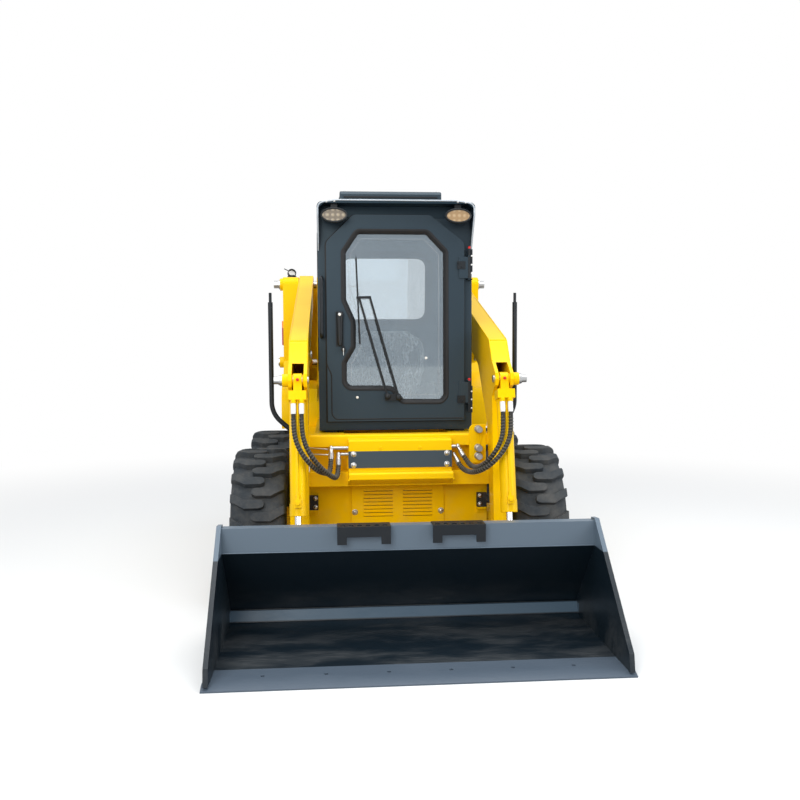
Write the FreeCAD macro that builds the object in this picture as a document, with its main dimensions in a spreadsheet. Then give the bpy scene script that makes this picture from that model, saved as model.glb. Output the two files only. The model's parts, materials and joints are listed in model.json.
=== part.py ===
"""Skid steer loader, modelled in millimetres and degrees.

+Z is up, +X is the machine's left side and the bucket points to -Y. Every size below is measured
from the ground under the middle of the front axle. The finished pieces are then moved along Y, so
that the origin lies on the ground under the middle of the machine's length.
"""
import FreeCAD, Part
import math
import os
import re

import Sketcher

Vector = FreeCAD.Vector

# Driving dimensions. A name that ends in _x, _y or _z is a place, the others are lengths and angles.
SIZES = {
    # reach of the whole machine before and behind the front axle
    "reach_front": 1446, "reach_rear": 1950,
    # wheels and tyres
    "wheel_base": 1075, "track_x": 770, "tyre_r": 420, "tyre_half": 150, "carcass_r": 388,
    "shoulder_half": 128, "shoulder_r": 380, "wall_half": 150, "wall_r": 310, "bead_r": 212,
    "bead_half": 105, "lug_count": 19, "lug_wide": 50, "lug_rise": 44, "lug_top_r": 417.2,
    "lug_tip": 34, "lug_point": 22, "lug_kink": 70, "lug_outer": 150, "rim_wall": 12, "rim_lip": 10,
    "disc_off": 30, "disc_wall": 14,
    "hub_r": 70, "hub_half": 66, "stub_r": 35, "stub_long": 150, "bore_gap": 0.3,
    "housing_r": 78, "housing_x": 694,
    # welded tub of the main frame
    "frame_half": 470, "nose_half": 512, "nose_wall": 12, "frame_wall": 15, "frame_nose_y": -108,
    "frame_tail_y": 1885, "frame_low_z": 205,
    "frame_top_z": 925, "nose_low_z": 260, "tail_low_z": 400, "fender_z": 858, "fender_wall": 12,
    "fender_front_y": -60, "fender_half": 600, "bay_front_y": 900, "bay_low_z": 275, "bay_sill_z": 440,
    "well_half": 300, "well_rear_y": 400, "well_low_z": 620,
    "panel_wall": 10, "panel_half": 263, "panel_low_z": 275, "panel_top_z": 640,
    "louvre_x": 112, "louvre_long": 165, "louvre_tall": 9, "louvre_low_z": 455, "louvre_pitch": 20.5,
    "louvre_count": 8, "stop_x": 478, "stop_z": 543, "stop_wide": 54, "stop_tall": 80, "stop_deep": 34,
    "bumper_deep": 65, "bumper_half": 560, "bumper_low_z": 330, "bumper_top_z": 424,
    # lift towers beside the engine bay
    "tower_in": 602, "tower_out": 715, "tower_front_y": 1360, "tower_foot_y": 1000, "tower_knee_z": 1040,
    "tower_bend_z": 1270, "tower_top_z": 1930, "tower_crest_y": 1700, "tower_back_y": 1790,
    "tower_back_z": 1690, "tower_tail_y": 1880, "tower_tail_z": 1400, "plate_in": 455, "web_wall": 14,
    "tower_round": 60, "boss_out": 745, "boss_r": 46,
    # lift arms: pivot at the towers, hinge pin at the bucket coupler
    "pivot_y": 1560, "pivot_z": 1886, "pivot_pin_r": 28, "pivot_tip_x": 791, "pin_gap": 0.3,
    "arm_in": 497, "arm_out": 596, "arm_wall": 18, "arm_tail_y": 1632, "arm_crest_y": 1390,
    "arm_crest_z": 1914, "elbow_y": -250, "elbow_z": 1453, "brow_y": -340, "brow_z": 1336,
    "hinge_y": -470, "hinge_z": 220, "hinge_pin_r": 24, "leg_front_y": -345, "leg_front_z": 1150,
    "leg_rear_y": -190, "leg_rear_z": 1000, "leg_foot_y": -280, "leg_foot_z": 560, "belly_y": 100,
    "belly_z": 1310, "belly_rear_y": 1330, "belly_rear_z": 1742, "arm_round": 60,
    # tilt cylinders on the fronts of the legs
    "tilt_x": 547, "tilt_y": -400, "tilt_z": 1243, "tilt_pin_r": 20, "tilt_tip_x": 671,
    "tilt_barrel_r": 41, "tilt_bore_r": 33, "tilt_rod_r": 17.5, "tilt_barrel_end": 705,
    "tilt_block": 92, "tilt_pipe_r": 5, "tilt_eye_r": 36, "tilt_eye_wide": 44, "tilt_boss_out": 628,
    "fitting_r": 11,
    "fitting_x": 21, "fitting_off": 54, "fitting_end": 146,
    "upper_y": -600, "upper_z": 400, "rod_eye_r": 36, "rod_eye_wide": 44,
    # lift cylinders between the towers and the arms
    "lift_x": 547, "lift_base_y": 1400, "lift_base_z": 1310, "lift_eye_y": 400, "lift_eye_z": 1365,
    "lift_pin_r": 22, "lift_eye_r": 44, "lift_barrel_r": 41, "lift_bore_r": 33, "lift_rod_r": 24,
    "lift_barrel_end": 810, "lug_plate_r": 46,
    # cross member that joins the two legs
    "beam_rear_y": -150, "beam_front_y": -235, "beam_top_z": 935, "beam_low_z": 655, "chin_y": -373,
    "chin_half": 283, "chin_top_z": 742, "chin_low_z": 705, "cover_low_z": 760, "cover_top_z": 851,
    "cover_wall": 8, "bracket_in": 388, "bracket_out": 482, "bracket_low_z": 770, "bracket_top_z": 985,
    "bracket_wall": 8, "coupler_x": 437, "coupler_r": 19.5, "coupler_long": 62,
    # coupler frame and bucket
    "edge_half": 922, "edge_y": -1446, "edge_wall": 20, "edge_deep": 200, "bucket_half": 900,
    "side_wall": 10, "floor_wall": 12, "heel_y": -654, "heel_z": 36, "strip_y": -622, "strip_z": 92,
    "lip_y": -925, "lip_low_z": 455, "lip_top_z": 572, "lip_deep": 60, "tip_z": 585,
    "side_front_y": -1426, "side_front_z": 96, "hook_half": 613, "frame_deep": 60,
    "ear_wall": 16, "ear_in": 504, "ear_out": 590, "hinge_ear_in": 475, "hinge_ear_out": 613,
    "step_x": 225, "step_half": 126, "step_deep": 95,
    "step_drop": 80, "step_wall": 5,
    # cab shell
    "cab_half": 442, "cab_wall": 40, "cab_low_z": 937, "cab_top_z": 2150, "cab_rear_y": 1150,
    "cab_rear_top_y": 1090, "cab_waist_z": 1540, "cab_floor": 12, "side_win_front_y": 90,
    "side_win_rear_y": 1000, "side_win_low_z": 1290, "side_win_top_z": 2070, "window_round": 50,
    "rear_win_half": 300, "rear_win_low_z": 1600, "rear_win_top_z": 2040, "glass_wall": 6,
    "glass_gap": 0.3, "roof_front_y": -121, "roof_tall": 82, "roof_side_tall": 66, "roof_round": 28,
    "visor_wall": 20,
    "flange_low_z": 1960, "unit_half": 310, "unit_front_y": 330, "unit_rear_y": 900, "unit_tall": 128,
    "unit_slope": 14, "lamp_x": 347, "lamp_drop": 4, "lamp_half": 67, "lamp_high": 34, "lamp_wall": 10,
    "lamp_rim": 6, "pod_deep": 74, "mount_r": 38,
    # cab door
    "door_gap": 5, "door_wall": 45, "door_low_z": 993, "door_left_x": 391, "door_right_x": -393,
    "door_high_x": 195, "door_peak_x": -239, "door_peak_z": 2160, "door_chamfer_z": 2008,
    "door_round": 45, "pane_round": 40,
    "door_hinge_x": 420, "knuckle_r": 9, "hinge_r": 4, "handle_x": -330, "handle_low_z": 1430,
    "handle_top_z": 1605,
    # seat and controls
    "seat_half": 250, "seat_front_y": 380, "seat_rear_y": 850, "seat_z": 1080, "seat_thick": 110,
    "back_top_z": 1496, "back_thick": 110, "console_in": 268, "console_out": 345, "console_top_z": 1180,
    # engine bay, hood and rear door
    "engine_half": 260, "engine_front_y": 1165, "engine_rear_y": 1790, "engine_low_z": 400,
    "engine_top_z": 1080, "hood_half": 448, "hood_front_y": 1166, "hood_front_z": 1500, "hood_mid_y": 1480,
    "hood_tail_z": 1400, "hood_wall": 30, "hood_pin_y": 1182, "hood_pin_z": 1482, "hood_pin_r": 8,
    "rear_door_half": 438, "rear_door_low_z": 446,
    "rear_door_top_z": 1360, "rear_door_y": 1892, "rear_door_wall": 40, "rear_hinge_x": -451,
    "rear_hinge_y": 1912,
    "grille_half": 330, "grille_low_z": 900, "grille_top_z": 1300, "slat_count": 9,
    "stack_x": -660, "stack_y": 1620, "stack_r": 30, "stack_top_z": 2010,
    "tail_lamp_out": 745, "tail_lamp_low_z": 1425, "tail_lamp_top_z": 1630, "tail_lamp_y": 1700,
    "post_x": 720, "post_y": 120, "post_r": 14, "post_foot_x": 580, "post_knee_z": 1030,
    "post_top_z": 1678, "stub_top_z": 1733, "post_tip_r": 8.5,
}

# Hose routes, chosen by hand: x, y, z of each point.
HOSE_R = 11.5
HOSE_ROUTES = {
    "hose_right_outer": [(-568, -487, 1110.4), (-568, -518, 1002.4), (-550, -563, 922), (-505, -568, 844),
                         (-450, -528, 780), (-412, -455, 757), (-388, -385, 744), (-378, -318, 776),
                         (-376, -285, 846)],
    "hose_right_inner": [(-526, -487, 1110.4), (-526, -518, 1002.4), (-510, -551, 922), (-470, -560, 848),
                         (-416, -530, 781), (-368, -460, 735), (-348, -385, 722), (-338, -318, 748),
                         (-336, -285, 812)],
    "hose_left_inner": [(526, -487, 1110.4), (526, -518, 1002.4), (508, -551, 925), (465, -560, 855),
                        (424, -520, 800), (400, -445, 773), (380, -365, 768), (362, -300, 795),
                        (332, -275, 848)],
    "hose_left_outer": [(568, -487, 1110.4), (568, -518, 1002.4), (545, -564, 920), (492, -574, 845),
                        (432, -549, 785), (380, -475, 750), (350, -385, 745), (326, -318, 762),
                        (306, -275, 806)],
}

# Places of the hinges, low and high z of each eye.
REAR_HINGES = (("bay_sill_z + 60", "bay_sill_z + 140"), ("frame_top_z - 120", "frame_top_z - 40"))
DOOR_HINGES = (("door_low_z + 101", "door_low_z + 221"), ("door_chamfer_z - 203", "door_chamfer_z - 83"))

doc = FreeCAD.newDocument("SkidSteerLoader")
sheet = doc.addObject("Spreadsheet::Sheet", "Sizes")
for row, (alias, number) in enumerate(SIZES.items(), start=1):
    sheet.set(f"A{row}", alias)
    sheet.set(f"B{row}", str(number))
    sheet.setAlias(f"B{row}", alias)
doc.recompute()

FUNCTIONS = {"sin", "cos", "tan", "atan", "atan2", "sqrt", "abs", "min", "max"}
PLANES = {"YZ": ("YZ_Plane", 1), "XZ": ("XZ_Plane", -1), "XY": ("XY_Plane", 1)}
AXES = {"X": Vector(1, 0, 0), "Y": Vector(0, 1, 0), "Z": Vector(0, 0, 1)}
nodes = []


def bound(text):
    """The expression with each size's name pointing at the sheet."""
    def point(match):
        word = match.group()
        return word if word in FUNCTIONS else f"Sizes.{word}"
    return re.sub(r"[a-z_][a-z0-9_]*", point, str(text))


def size(text):
    """The number that an expression of sizes gives."""
    return float(sheet.evalExpression(bound(text)))


def bind(thing, **properties):
    """Bind properties to expressions; a double underscore stands for a dot."""
    for name, text in properties.items():
        thing.setExpression(name.replace("__", "."), bound(text))


def sketch(body, name, plane, level, loops, circles=()):
    """A sketch on one of the body's origin planes, moved to a level along the plane's axis."""
    role, sign = PLANES[plane]
    drawing = body.newObject("Sketcher::SketchObject", name)
    drawing.AttachmentSupport = [(next(f for f in body.Origin.OriginFeatures if f.Role == role), "")]
    drawing.MapMode = "FlatFace"
    bind(drawing, AttachmentOffset__Base__z=level if sign > 0 else f"-({level})")
    for loop in loops:
        spots = [Vector(size(u), size(v), 0) for u, v in loop]
        lines = [drawing.addGeometry(Part.LineSegment(a, b)) for a, b in zip(spots, spots[1:] + spots[:1])]
        for line, after in zip(lines, lines[1:] + lines[:1]):
            drawing.addConstraint(Sketcher.Constraint("Coincident", line, 2, after, 1))
        for line, (u, v), spot in zip(lines, loop, spots):
            for kind, text, number in (("DistanceX", u, spot.x), ("DistanceY", v, spot.y)):
                index = drawing.addConstraint(Sketcher.Constraint(kind, -1, 1, line, 1, number))
                drawing.setExpression(f"Constraints[{index}]", bound(text))
    for u, v, r in circles:
        ring = drawing.addGeometry(Part.Circle(Vector(size(u), size(v), 0), Vector(0, 0, 1), size(r)))
        for kind, text in (("DistanceX", u), ("DistanceY", v)):
            index = drawing.addConstraint(Sketcher.Constraint(kind, -1, 1, ring, 3, size(text)))
            drawing.setExpression(f"Constraints[{index}]", bound(text))
        index = drawing.addConstraint(Sketcher.Constraint("Radius", ring, size(r)))
        drawing.setExpression(f"Constraints[{index}]", bound(r))
    return drawing


def pad(body, name, plane, low, high, loop, circles=()):
    """Add the outline, less the circles, between two levels along the plane's axis."""
    start = low if PLANES[plane][1] > 0 else high
    feature = body.newObject("PartDesign::Pad", name)
    feature.Profile = sketch(body, name + "_sketch", plane, start, [loop] if loop else [], circles)
    bind(feature, Length=f"({high}) - ({low})")
    doc.recompute()
    return feature


def pocket(body, name, plane, low, high, loop=None, circles=()):
    """Cut the outline or the circles between two levels along the plane's axis."""
    before = body.Shape.Volume
    start = high if PLANES[plane][1] > 0 else low
    feature = body.newObject("PartDesign::Pocket", name)
    feature.Profile = sketch(body, name + "_sketch", plane, start, [loop] if loop else [], circles)
    bind(feature, Length=f"({high}) - ({low})")
    doc.recompute()
    if body.Shape.Volume >= before - 1:
        raise RuntimeError(f"{name} cuts nothing")
    return feature


def round_corners(body, name, plane, radius, corners):
    """Round the edges that run along the plane's axis through the given corners."""
    along = AXES[{"YZ": "X", "XZ": "Y", "XY": "Z"}[plane]]
    spots = [(size(u), size(v)) for u, v in corners]
    picked = []
    for index, edge in enumerate(body.Shape.Edges, start=1):
        if edge.Curve.TypeId != "Part::GeomLine" or abs(edge.tangentAt(edge.FirstParameter).dot(along)) < 0.999:
            continue
        end = edge.Vertexes[0].Point
        flat = {"YZ": (end.y, end.z), "XZ": (end.x, end.z), "XY": (end.x, end.y)}[plane]
        if any(math.dist(flat, spot) < 0.5 for spot in spots):
            picked.append(f"Edge{index}")
    base = body.Tip
    feature = body.newObject("PartDesign::Fillet", name)
    feature.Base = (base, picked)
    bind(feature, Radius=radius)
    doc.recompute()


def new_body(name):
    return doc.addObject("PartDesign::Body", name)


def box(name, x, y, z):
    """A block between two places on each axis."""
    block = doc.addObject("Part::Box", name)
    for side, (low, high), axis in (("Length", x, "x"), ("Width", y, "y"), ("Height", z, "z")):
        bind(block, **{side: f"({high}) - ({low})", f"Placement__Base__{axis}": low})
    return block


def rod(name, axis, radius, low, high, u, v):
    """A cylinder along a row axis; u and v are its place on the other two axes."""
    round_bar = doc.addObject("Part::Cylinder", name)
    turn = {"X": FreeCAD.Rotation(Vector(0, 1, 0), 90), "Y": FreeCAD.Rotation(Vector(1, 0, 0), -90),
            "Z": FreeCAD.Rotation()}[axis]
    round_bar.Placement = FreeCAD.Placement(Vector(), turn)
    places = {"X": (low, u, v), "Y": (u, low, v), "Z": (u, v, low)}[axis]
    bind(round_bar, Radius=radius, Height=f"({high}) - ({low})", Placement__Base__x=places[0],
         Placement__Base__y=places[1], Placement__Base__z=places[2])
    return round_bar


def fuse(name, *pieces):
    joined = doc.addObject("Part::MultiFuse", name)
    joined.Shapes = list(pieces)
    joined.Refine = True
    return joined


def cut(name, base, *tools):
    for index, tool in enumerate(tools):
        piece = doc.addObject("Part::Cut", f"{name}_{index}")
        piece.Base = base
        piece.Tool = tool
        base = piece
    return base


def gather(name, *pieces):
    """Several solids that don't touch, kept in one piece's file."""
    bundle = doc.addObject("Part::Compound", name)
    bundle.Links = list(pieces)
    return bundle


def mirrored(name, source):
    """The same piece on the machine's right side."""
    twin = doc.addObject("Part::Mirroring", name)
    twin.Source = source
    twin.Normal = Vector(1, 0, 0)
    return twin


def both(name, source):
    """The piece and its mirror image in one file."""
    return gather(name + "_pair", source, mirrored(name + "_twin", source))


def from_shape(name, shape):
    piece = doc.addObject("Part::Feature", name)
    piece.Shape = shape
    return piece


def node(label, piece):
    """Name a finished sub-part and move it so that the origin is under the machine's middle."""
    holder = piece
    if piece.TypeId != "PartDesign::Body":
        holder = doc.addObject("Part::Compound", label + "_part")
        holder.Links = [piece]
    holder.Label = label
    bind(holder, Placement__Base__y="(reach_front - reach_rear) / 2")
    nodes.append(holder)


def tube(points, radius, bend=0.45):
    """A round tube along straight runs joined by tangent arcs, and the arcs' radii."""
    spots = [Vector(*p) for p in points]
    edges, radii = [], []
    start = spots[0]
    for before, corner, after in zip(spots, spots[1:], spots[2:]):
        inward, outward = corner - before, after - corner
        turn = inward.getAngle(outward)
        shorter = min(inward.Length, outward.Length)
        arc_r = bend * shorter / math.tan(turn / 2)
        reach = bend * shorter
        unit_in, unit_out = inward.normalize(), outward.normalize()
        enter, leave = corner - unit_in * reach, corner + unit_out * reach
        inner = (unit_out - unit_in).normalize()
        middle = corner + inner * (arc_r / math.cos(turn / 2) - arc_r)
        edges += [Part.LineSegment(start, enter).toShape(), Part.Arc(enter, middle, leave).toShape()]
        radii.append(arc_r)
        start = leave
    edges.append(Part.LineSegment(start, spots[-1]).toShape())
    path = Part.Wire(edges)
    ring = Part.Wire([Part.Circle(spots[0], spots[1] - spots[0], radius).toShape()])
    shape = path.makePipeShell([ring], True, True)
    return Part.Solid(shape) if shape.ShapeType != "Solid" else shape, radii, path.Length


def tyre_shape():
    """Ring of rubber with two staggered rows of skewed lugs, its axis along X at the origin."""
    half, wall = size("tyre_half"), size("wall_r")
    outline = [(size("bead_half"), size("bead_r")), (half - 12, size("bead_r") + 36), (half, wall - 25),
               (half, wall + 15), (half - 8, wall + 50), (size("shoulder_half"), size("shoulder_r")),
               (0, size("carcass_r"))]
    outline += [(-x, r) for x, r in reversed(outline[:-1])]
    ring = Part.makePolygon([Vector(x, 0, r) for x, r in outline + outline[:1]])
    carcass = Part.Face(ring).revolve(Vector(), Vector(1, 0, 0), 360)
    top, kink, outer = size("lug_top_r"), size("lug_kink"), size("lug_outer")
    tip, wide, rise = -size("lug_tip"), size("lug_wide"), size("lug_rise")
    low = -(wide + rise) / 2
    # Plan of one lug: it points past the tyre's middle, runs straight out and then bends back at the kink.
    plan = [(tip, low + wide / 2), (tip + size("lug_point"), low), (kink, low), (outer, low + rise),
            (outer, low + rise + wide), (kink, low + wide), (tip + size("lug_point"), low + wide)]
    side = [(tip - 2, size("carcass_r") - 16), (tip - 2, top), (outer - 28, top), (outer - 6, top - 14),
            (outer - 4, wall + 55), (outer - 24, wall + 48)]
    foot = Vector(0, 0, wall)
    sole = Part.Face(Part.makePolygon([Vector(x, y, 0) + foot for x, y in plan + plan[:1]]))
    bar = sole.extrude(Vector(0, 0, top))
    cheek = Part.Face(Part.makePolygon([Vector(x, 2 * low, r) for x, r in side + side[:1]]))
    bar = bar.common(cheek.extrude(Vector(0, -4 * low, 0)))
    pitch = 360 / size("lug_count")
    start = math.degrees(math.atan2(-low, top))
    lugs = []
    for index in range(int(size("lug_count"))):
        right = bar.copy()
        right.rotate(Vector(), Vector(1, 0, 0), start + index * pitch)
        left = bar.mirror(Vector(), Vector(1, 0, 0))
        left.rotate(Vector(), Vector(1, 0, 0), start + (index + 0.5) * pitch)
        lugs += [right, left]
    return carcass.multiFuse(lugs).removeSplitter()


def rim_shape():
    """Dished disc in a lipped barrel with its hub and stub shaft; +X is the outer side."""
    seat = size("bead_r - bore_gap")
    inner = seat - size("rim_wall")
    lip, half = seat + size("rim_lip"), size("bead_half + bore_gap")
    flare = half + size("rim_lip") * (size("tyre_half") - 12 - size("bead_half")) / 36 + 1.5
    disc, wall = size("disc_off"), size("disc_wall")
    hub, stub = size("hub_r"), size("stub_r")
    outline = [(flare + 5, inner), (flare + 5, lip), (flare, lip), (half, seat), (-half, seat), (-flare, lip),
               (-flare - 5, lip), (-flare - 5, inner), (-half + 8, inner - 8), (disc - wall, inner - 8),
               (disc - wall, 150), (disc - wall - 22, 120), (disc - wall - 22, hub), (-size("hub_half"), hub),
               (-size("hub_half"), stub), (-size("stub_long"), stub), (-size("stub_long"), 0), (22, 0),
               (22, 44), (disc - 22, hub - 10), (disc - 22, 112), (disc, 142), (disc, inner - 8),
               (half - 8, inner - 8)]
    ring = Part.makePolygon([Vector(x, 0, r) for x, r in outline + outline[:1]])
    return Part.Face(ring).revolve(Vector(), Vector(1, 0, 0), 360)


def build_wheels():
    tyre, rim = tyre_shape(), rim_shape()
    for place, y in (("front", "0"), ("rear", "wheel_base")):
        for side, sign in (("left", 1), ("right", -1)):
            for kind, shape in (("tyre", tyre), ("rim", rim)):
                label = f"{kind}_{place}_{side}"
                piece = from_shape(label + "_shape", shape if sign > 0 else shape.mirror(Vector(), Vector(1, 0, 0)))
                bind(piece, Placement__Base__x=f"{sign} * track_x", Placement__Base__y=y,
                     Placement__Base__z="tyre_r")
                node(label, piece)


def build_frame():
    body = new_body("tub")
    outline = [("frame_nose_y", "nose_low_z"), ("frame_nose_y + 60", "frame_low_z"),
               ("frame_tail_y - 330", "frame_low_z"), ("frame_tail_y", "tail_low_z - 60"),
               ("frame_tail_y", "frame_top_z"), ("frame_nose_y", "frame_top_z")]
    pad(body, "tub_block", "YZ", "-frame_half", "frame_half", outline)
    inner = "frame_half - frame_wall"
    pocket(body, "engine_bay", "YZ", f"-({inner})", inner,
           [("bay_front_y", "bay_low_z"), ("frame_tail_y - 300", "bay_low_z"),
            ("frame_tail_y - frame_wall", "tail_low_z"), ("frame_tail_y - frame_wall", "frame_top_z + 10"),
            ("bay_front_y", "frame_top_z + 10")])
    pocket(body, "rear_doorway", "XZ", "frame_tail_y - 30", "frame_tail_y + 10",
           [("-grille_half - 60", "bay_sill_z"), ("grille_half + 60", "bay_sill_z"),
            ("grille_half + 60", "frame_top_z + 10"), ("-grille_half - 60", "frame_top_z + 10")])
    pocket(body, "foot_well", "XY", "well_low_z", "frame_top_z + 10",
           [("-well_half", "frame_nose_y + frame_wall"), ("well_half", "frame_nose_y + frame_wall"),
            ("well_half", "well_rear_y"), ("-well_half", "well_rear_y")])
    nose = box("nose_plate", ("-nose_half", "nose_half"), ("frame_nose_y", "frame_nose_y + nose_wall"),
               ("nose_low_z", "panel_top_z + 15"))
    fenders = []
    for index, (inner_x, outer_x, front_y) in enumerate((("frame_half", "fender_half", "fender_front_y"),
                                                         ("fender_half", "tower_out", "tower_foot_y"))):
        fenders.append(box(f"fender_{index}", (inner_x, outer_x), (front_y, "tower_tail_y"),
                           ("fender_z", "fender_z + fender_wall")))
    node("fenders", both("fender", fuse("fender_left", *fenders)))
    reach = ("frame_tail_y - 1", "rear_hinge_y + 9")
    pins = hinge_pins("tub_hinge", "rear_hinge_x", "rear_hinge_y", REAR_HINGES, reach)
    node("main_frame", fuse("tub_welded", body, nose, *pins))


def build_front_panel():
    body = new_body("front_panel_body")
    pad(body, "panel_plate", "XZ", "frame_nose_y - panel_wall", "frame_nose_y",
        [("-panel_half", "panel_low_z"), ("panel_half", "panel_low_z"), ("panel_half", "panel_top_z"),
         ("-panel_half", "panel_top_z")])
    slots = []
    for row in range(int(size("louvre_count"))):
        low = f"louvre_low_z + {row} * louvre_pitch"
        for side in (-1, 1):
            centre = f"{side} * louvre_x"
            slots.append((centre, low))
    for index, (centre, low) in enumerate(slots):
        pocket(body, f"louvre_{index}", "XZ", "frame_nose_y - panel_wall - 1", "frame_nose_y + 1",
               [(f"{centre} - louvre_long / 2", low), (f"{centre} + louvre_long / 2", low),
                (f"{centre} + louvre_long / 2", f"{low} + louvre_tall"),
                (f"{centre} - louvre_long / 2", f"{low} + louvre_tall")])
    node("front_panel", body)


def build_rubber():
    """Bump stops for the arms and the rubber feet of the cab and the engine."""
    stop = box("bump_stop", ("stop_x - stop_wide / 2", "stop_x + stop_wide / 2"),
               ("frame_nose_y - stop_deep", "frame_nose_y"), ("stop_z - stop_tall / 2", "stop_z + stop_tall / 2"))
    pieces = [stop]
    for index, y in enumerate(("60", "bay_front_y - 60")):
        pieces.append(rod(f"cab_foot_{index}", "Z", "mount_r", "frame_top_z", "cab_low_z", "frame_half - 100", y))
    for index, y in enumerate(("engine_front_y + 40", "engine_front_y + 300")):
        pieces.append(box(f"engine_foot_{index}", ("engine_half - 80", "engine_half"), (y, f"{y} + 80"),
                          ("bay_low_z", "engine_low_z")))
    node("rubber_mounts", gather("rubber_set", *pieces, *[mirrored(f"rubber_twin_{i}", p)
                                                          for i, p in enumerate(pieces)]))


def build_rear_bumper():
    body = new_body("rear_bumper_body")
    pad(body, "bumper_bar", "YZ", "-bumper_half", "bumper_half",
        [("frame_tail_y", "bumper_low_z + 20"), ("frame_tail_y + 20", "bumper_low_z"),
         ("frame_tail_y + bumper_deep", "bumper_low_z + 14"), ("frame_tail_y + bumper_deep", "bumper_top_z - 14"),
         ("frame_tail_y + 20", "bumper_top_z"), ("frame_tail_y", "bumper_top_z")])
    pocket(body, "tow_hole", "XY", "bumper_low_z - 5", "bumper_top_z + 5",
           circles=[("0", "frame_tail_y + 38", "16")])
    node("rear_bumper", body)


def tower_outline():
    return [("tower_foot_y", "fender_z + fender_wall"), ("tower_foot_y", "tower_knee_z"),
            ("tower_foot_y + 50", "tower_knee_z + 90"), ("tower_front_y - 60", "tower_bend_z - 40"),
            ("tower_front_y", "tower_bend_z + 50"), ("tower_front_y", "tower_top_z"),
            ("tower_crest_y", "tower_top_z"), ("tower_back_y", "tower_back_z"),
            ("tower_tail_y", "tower_tail_z"), ("tower_tail_y", "fender_z + fender_wall")]


def build_towers():
    pins = [("pivot_y", "pivot_z", "pivot_pin_r + pin_gap"), ("lift_base_y", "lift_base_z", "lift_pin_r + pin_gap")]
    outer = new_body("tower_box")
    pad(outer, "tower_side", "YZ", "tower_in", "tower_out", tower_outline(), pins)
    round_corners(outer, "tower_crown", "YZ", "tower_round", [("tower_front_y", "tower_top_z"),
                                                              ("tower_crest_y", "tower_top_z")])
    inner = new_body("bay_side")
    pad(inner, "bay_plate", "YZ", "plate_in", "plate_in + frame_wall",
        [("tower_foot_y", "frame_top_z"), ("tower_foot_y", "tower_knee_z"),
         ("cab_rear_y + 5", "tower_knee_z + 110"), ("cab_rear_y + 5", "hood_front_z - 10"),
         ("tower_front_y", "hood_front_z - 10"), ("tower_front_y", "tower_top_z"),
         ("tower_crest_y", "tower_top_z"), ("tower_back_y", "tower_back_z"),
         ("tower_tail_y", "tower_tail_z"), ("tower_tail_y", "frame_top_z")], pins)
    round_corners(inner, "bay_crown", "YZ", "tower_round", [("tower_front_y", "tower_top_z"),
                                                            ("tower_crest_y", "tower_top_z")])
    back = new_body("tower_back")
    pad(back, "back_web", "YZ", "plate_in", "tower_in + 1",
        [("tower_tail_y", "frame_top_z"), ("tower_tail_y", "tower_tail_z"), ("tower_back_y", "tower_back_z"),
         ("tower_crest_y + 20", "tower_top_z - 40"), ("tower_crest_y + 20 - web_wall", "tower_top_z - 40"),
         ("tower_back_y - web_wall", "tower_back_z"), ("tower_tail_y - web_wall", "tower_tail_z"),
         ("tower_tail_y - web_wall", "frame_top_z")])
    low_back = box("tower_low_back", ("frame_half", "tower_in + 1"), ("tower_tail_y - web_wall", "tower_tail_y"),
                   ("fender_z + fender_wall", "frame_top_z"))
    front = new_body("tower_front")
    pad(front, "front_web", "YZ", "frame_half", "tower_in + 1",
        [("tower_foot_y", "fender_z + fender_wall"), ("tower_foot_y", "tower_knee_z"),
         ("tower_foot_y + 50", "tower_knee_z + 90"), ("tower_front_y - 90", "tower_bend_z - 90"),
         ("tower_front_y - 84", "tower_bend_z - 103"), ("tower_foot_y + 58", "tower_knee_z + 79"),
         ("tower_foot_y + web_wall", "tower_knee_z - 4"), ("tower_foot_y + web_wall", "fender_z + fender_wall")])
    boss_top = cut("pivot_boss", rod("pivot_boss_bar", "X", "boss_r", "tower_out - 1", "boss_out", "pivot_y", "pivot_z"),
                   rod("pivot_boss_hole", "X", "pivot_pin_r + pin_gap", "tower_out - 2", "boss_out + 1",
                       "pivot_y", "pivot_z"))
    boss_low = cut("lift_boss", rod("lift_boss_bar", "X", "boss_r - 6", "tower_out - 1", "boss_out",
                                    "lift_base_y", "lift_base_z"),
                   rod("lift_boss_hole", "X", "lift_pin_r + pin_gap", "tower_out - 2", "boss_out + 1",
                       "lift_base_y", "lift_base_z"))
    hood_pin = rod("hood_pin", "X", "hood_pin_r", "hood_half - 18", "plate_in + 1", "hood_pin_y", "hood_pin_z")
    tower = fuse("tower_welded", outer, inner, back, low_back, front, boss_top, boss_low, hood_pin)
    node("tower_left", tower)
    node("tower_right", mirrored("tower_twin", tower))


def build_tower_pins():
    pins = []
    for name, radius, tip, y, z in (("pivot", "pivot_pin_r", "pivot_tip_x", "pivot_y", "pivot_z"),
                                    ("lift_base", "lift_pin_r", "boss_out + 10", "lift_base_y", "lift_base_z")):
        pins.append(fuse(f"{name}_pin", rod(f"{name}_bar", "X", radius, "plate_in", tip, y, z),
                         rod(f"{name}_head", "X", f"{radius} + 8", "boss_out", "boss_out + 8", y, z)))
    node("tower_pins", gather("tower_pin_set", *pins, *[mirrored(f"tower_pin_twin_{i}", p)
                                                        for i, p in enumerate(pins)]))


def build_housings():
    pieces = []
    for place, y in (("front", "0"), ("rear", "wheel_base")):
        tube_bar = rod(f"housing_{place}_bar", "X", "housing_r", "frame_half", "housing_x", y, "tyre_r")
        bore = rod(f"housing_{place}_bore", "X", "stub_r + bore_gap", "track_x - stub_long - 4", "housing_x + 1",
                   y, "tyre_r")
        housing = cut(f"housing_{place}", tube_bar, bore)
        pieces += [housing, mirrored(f"housing_{place}_twin", housing)]
    node("axle_housings", gather("housing_set", *pieces))


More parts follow.
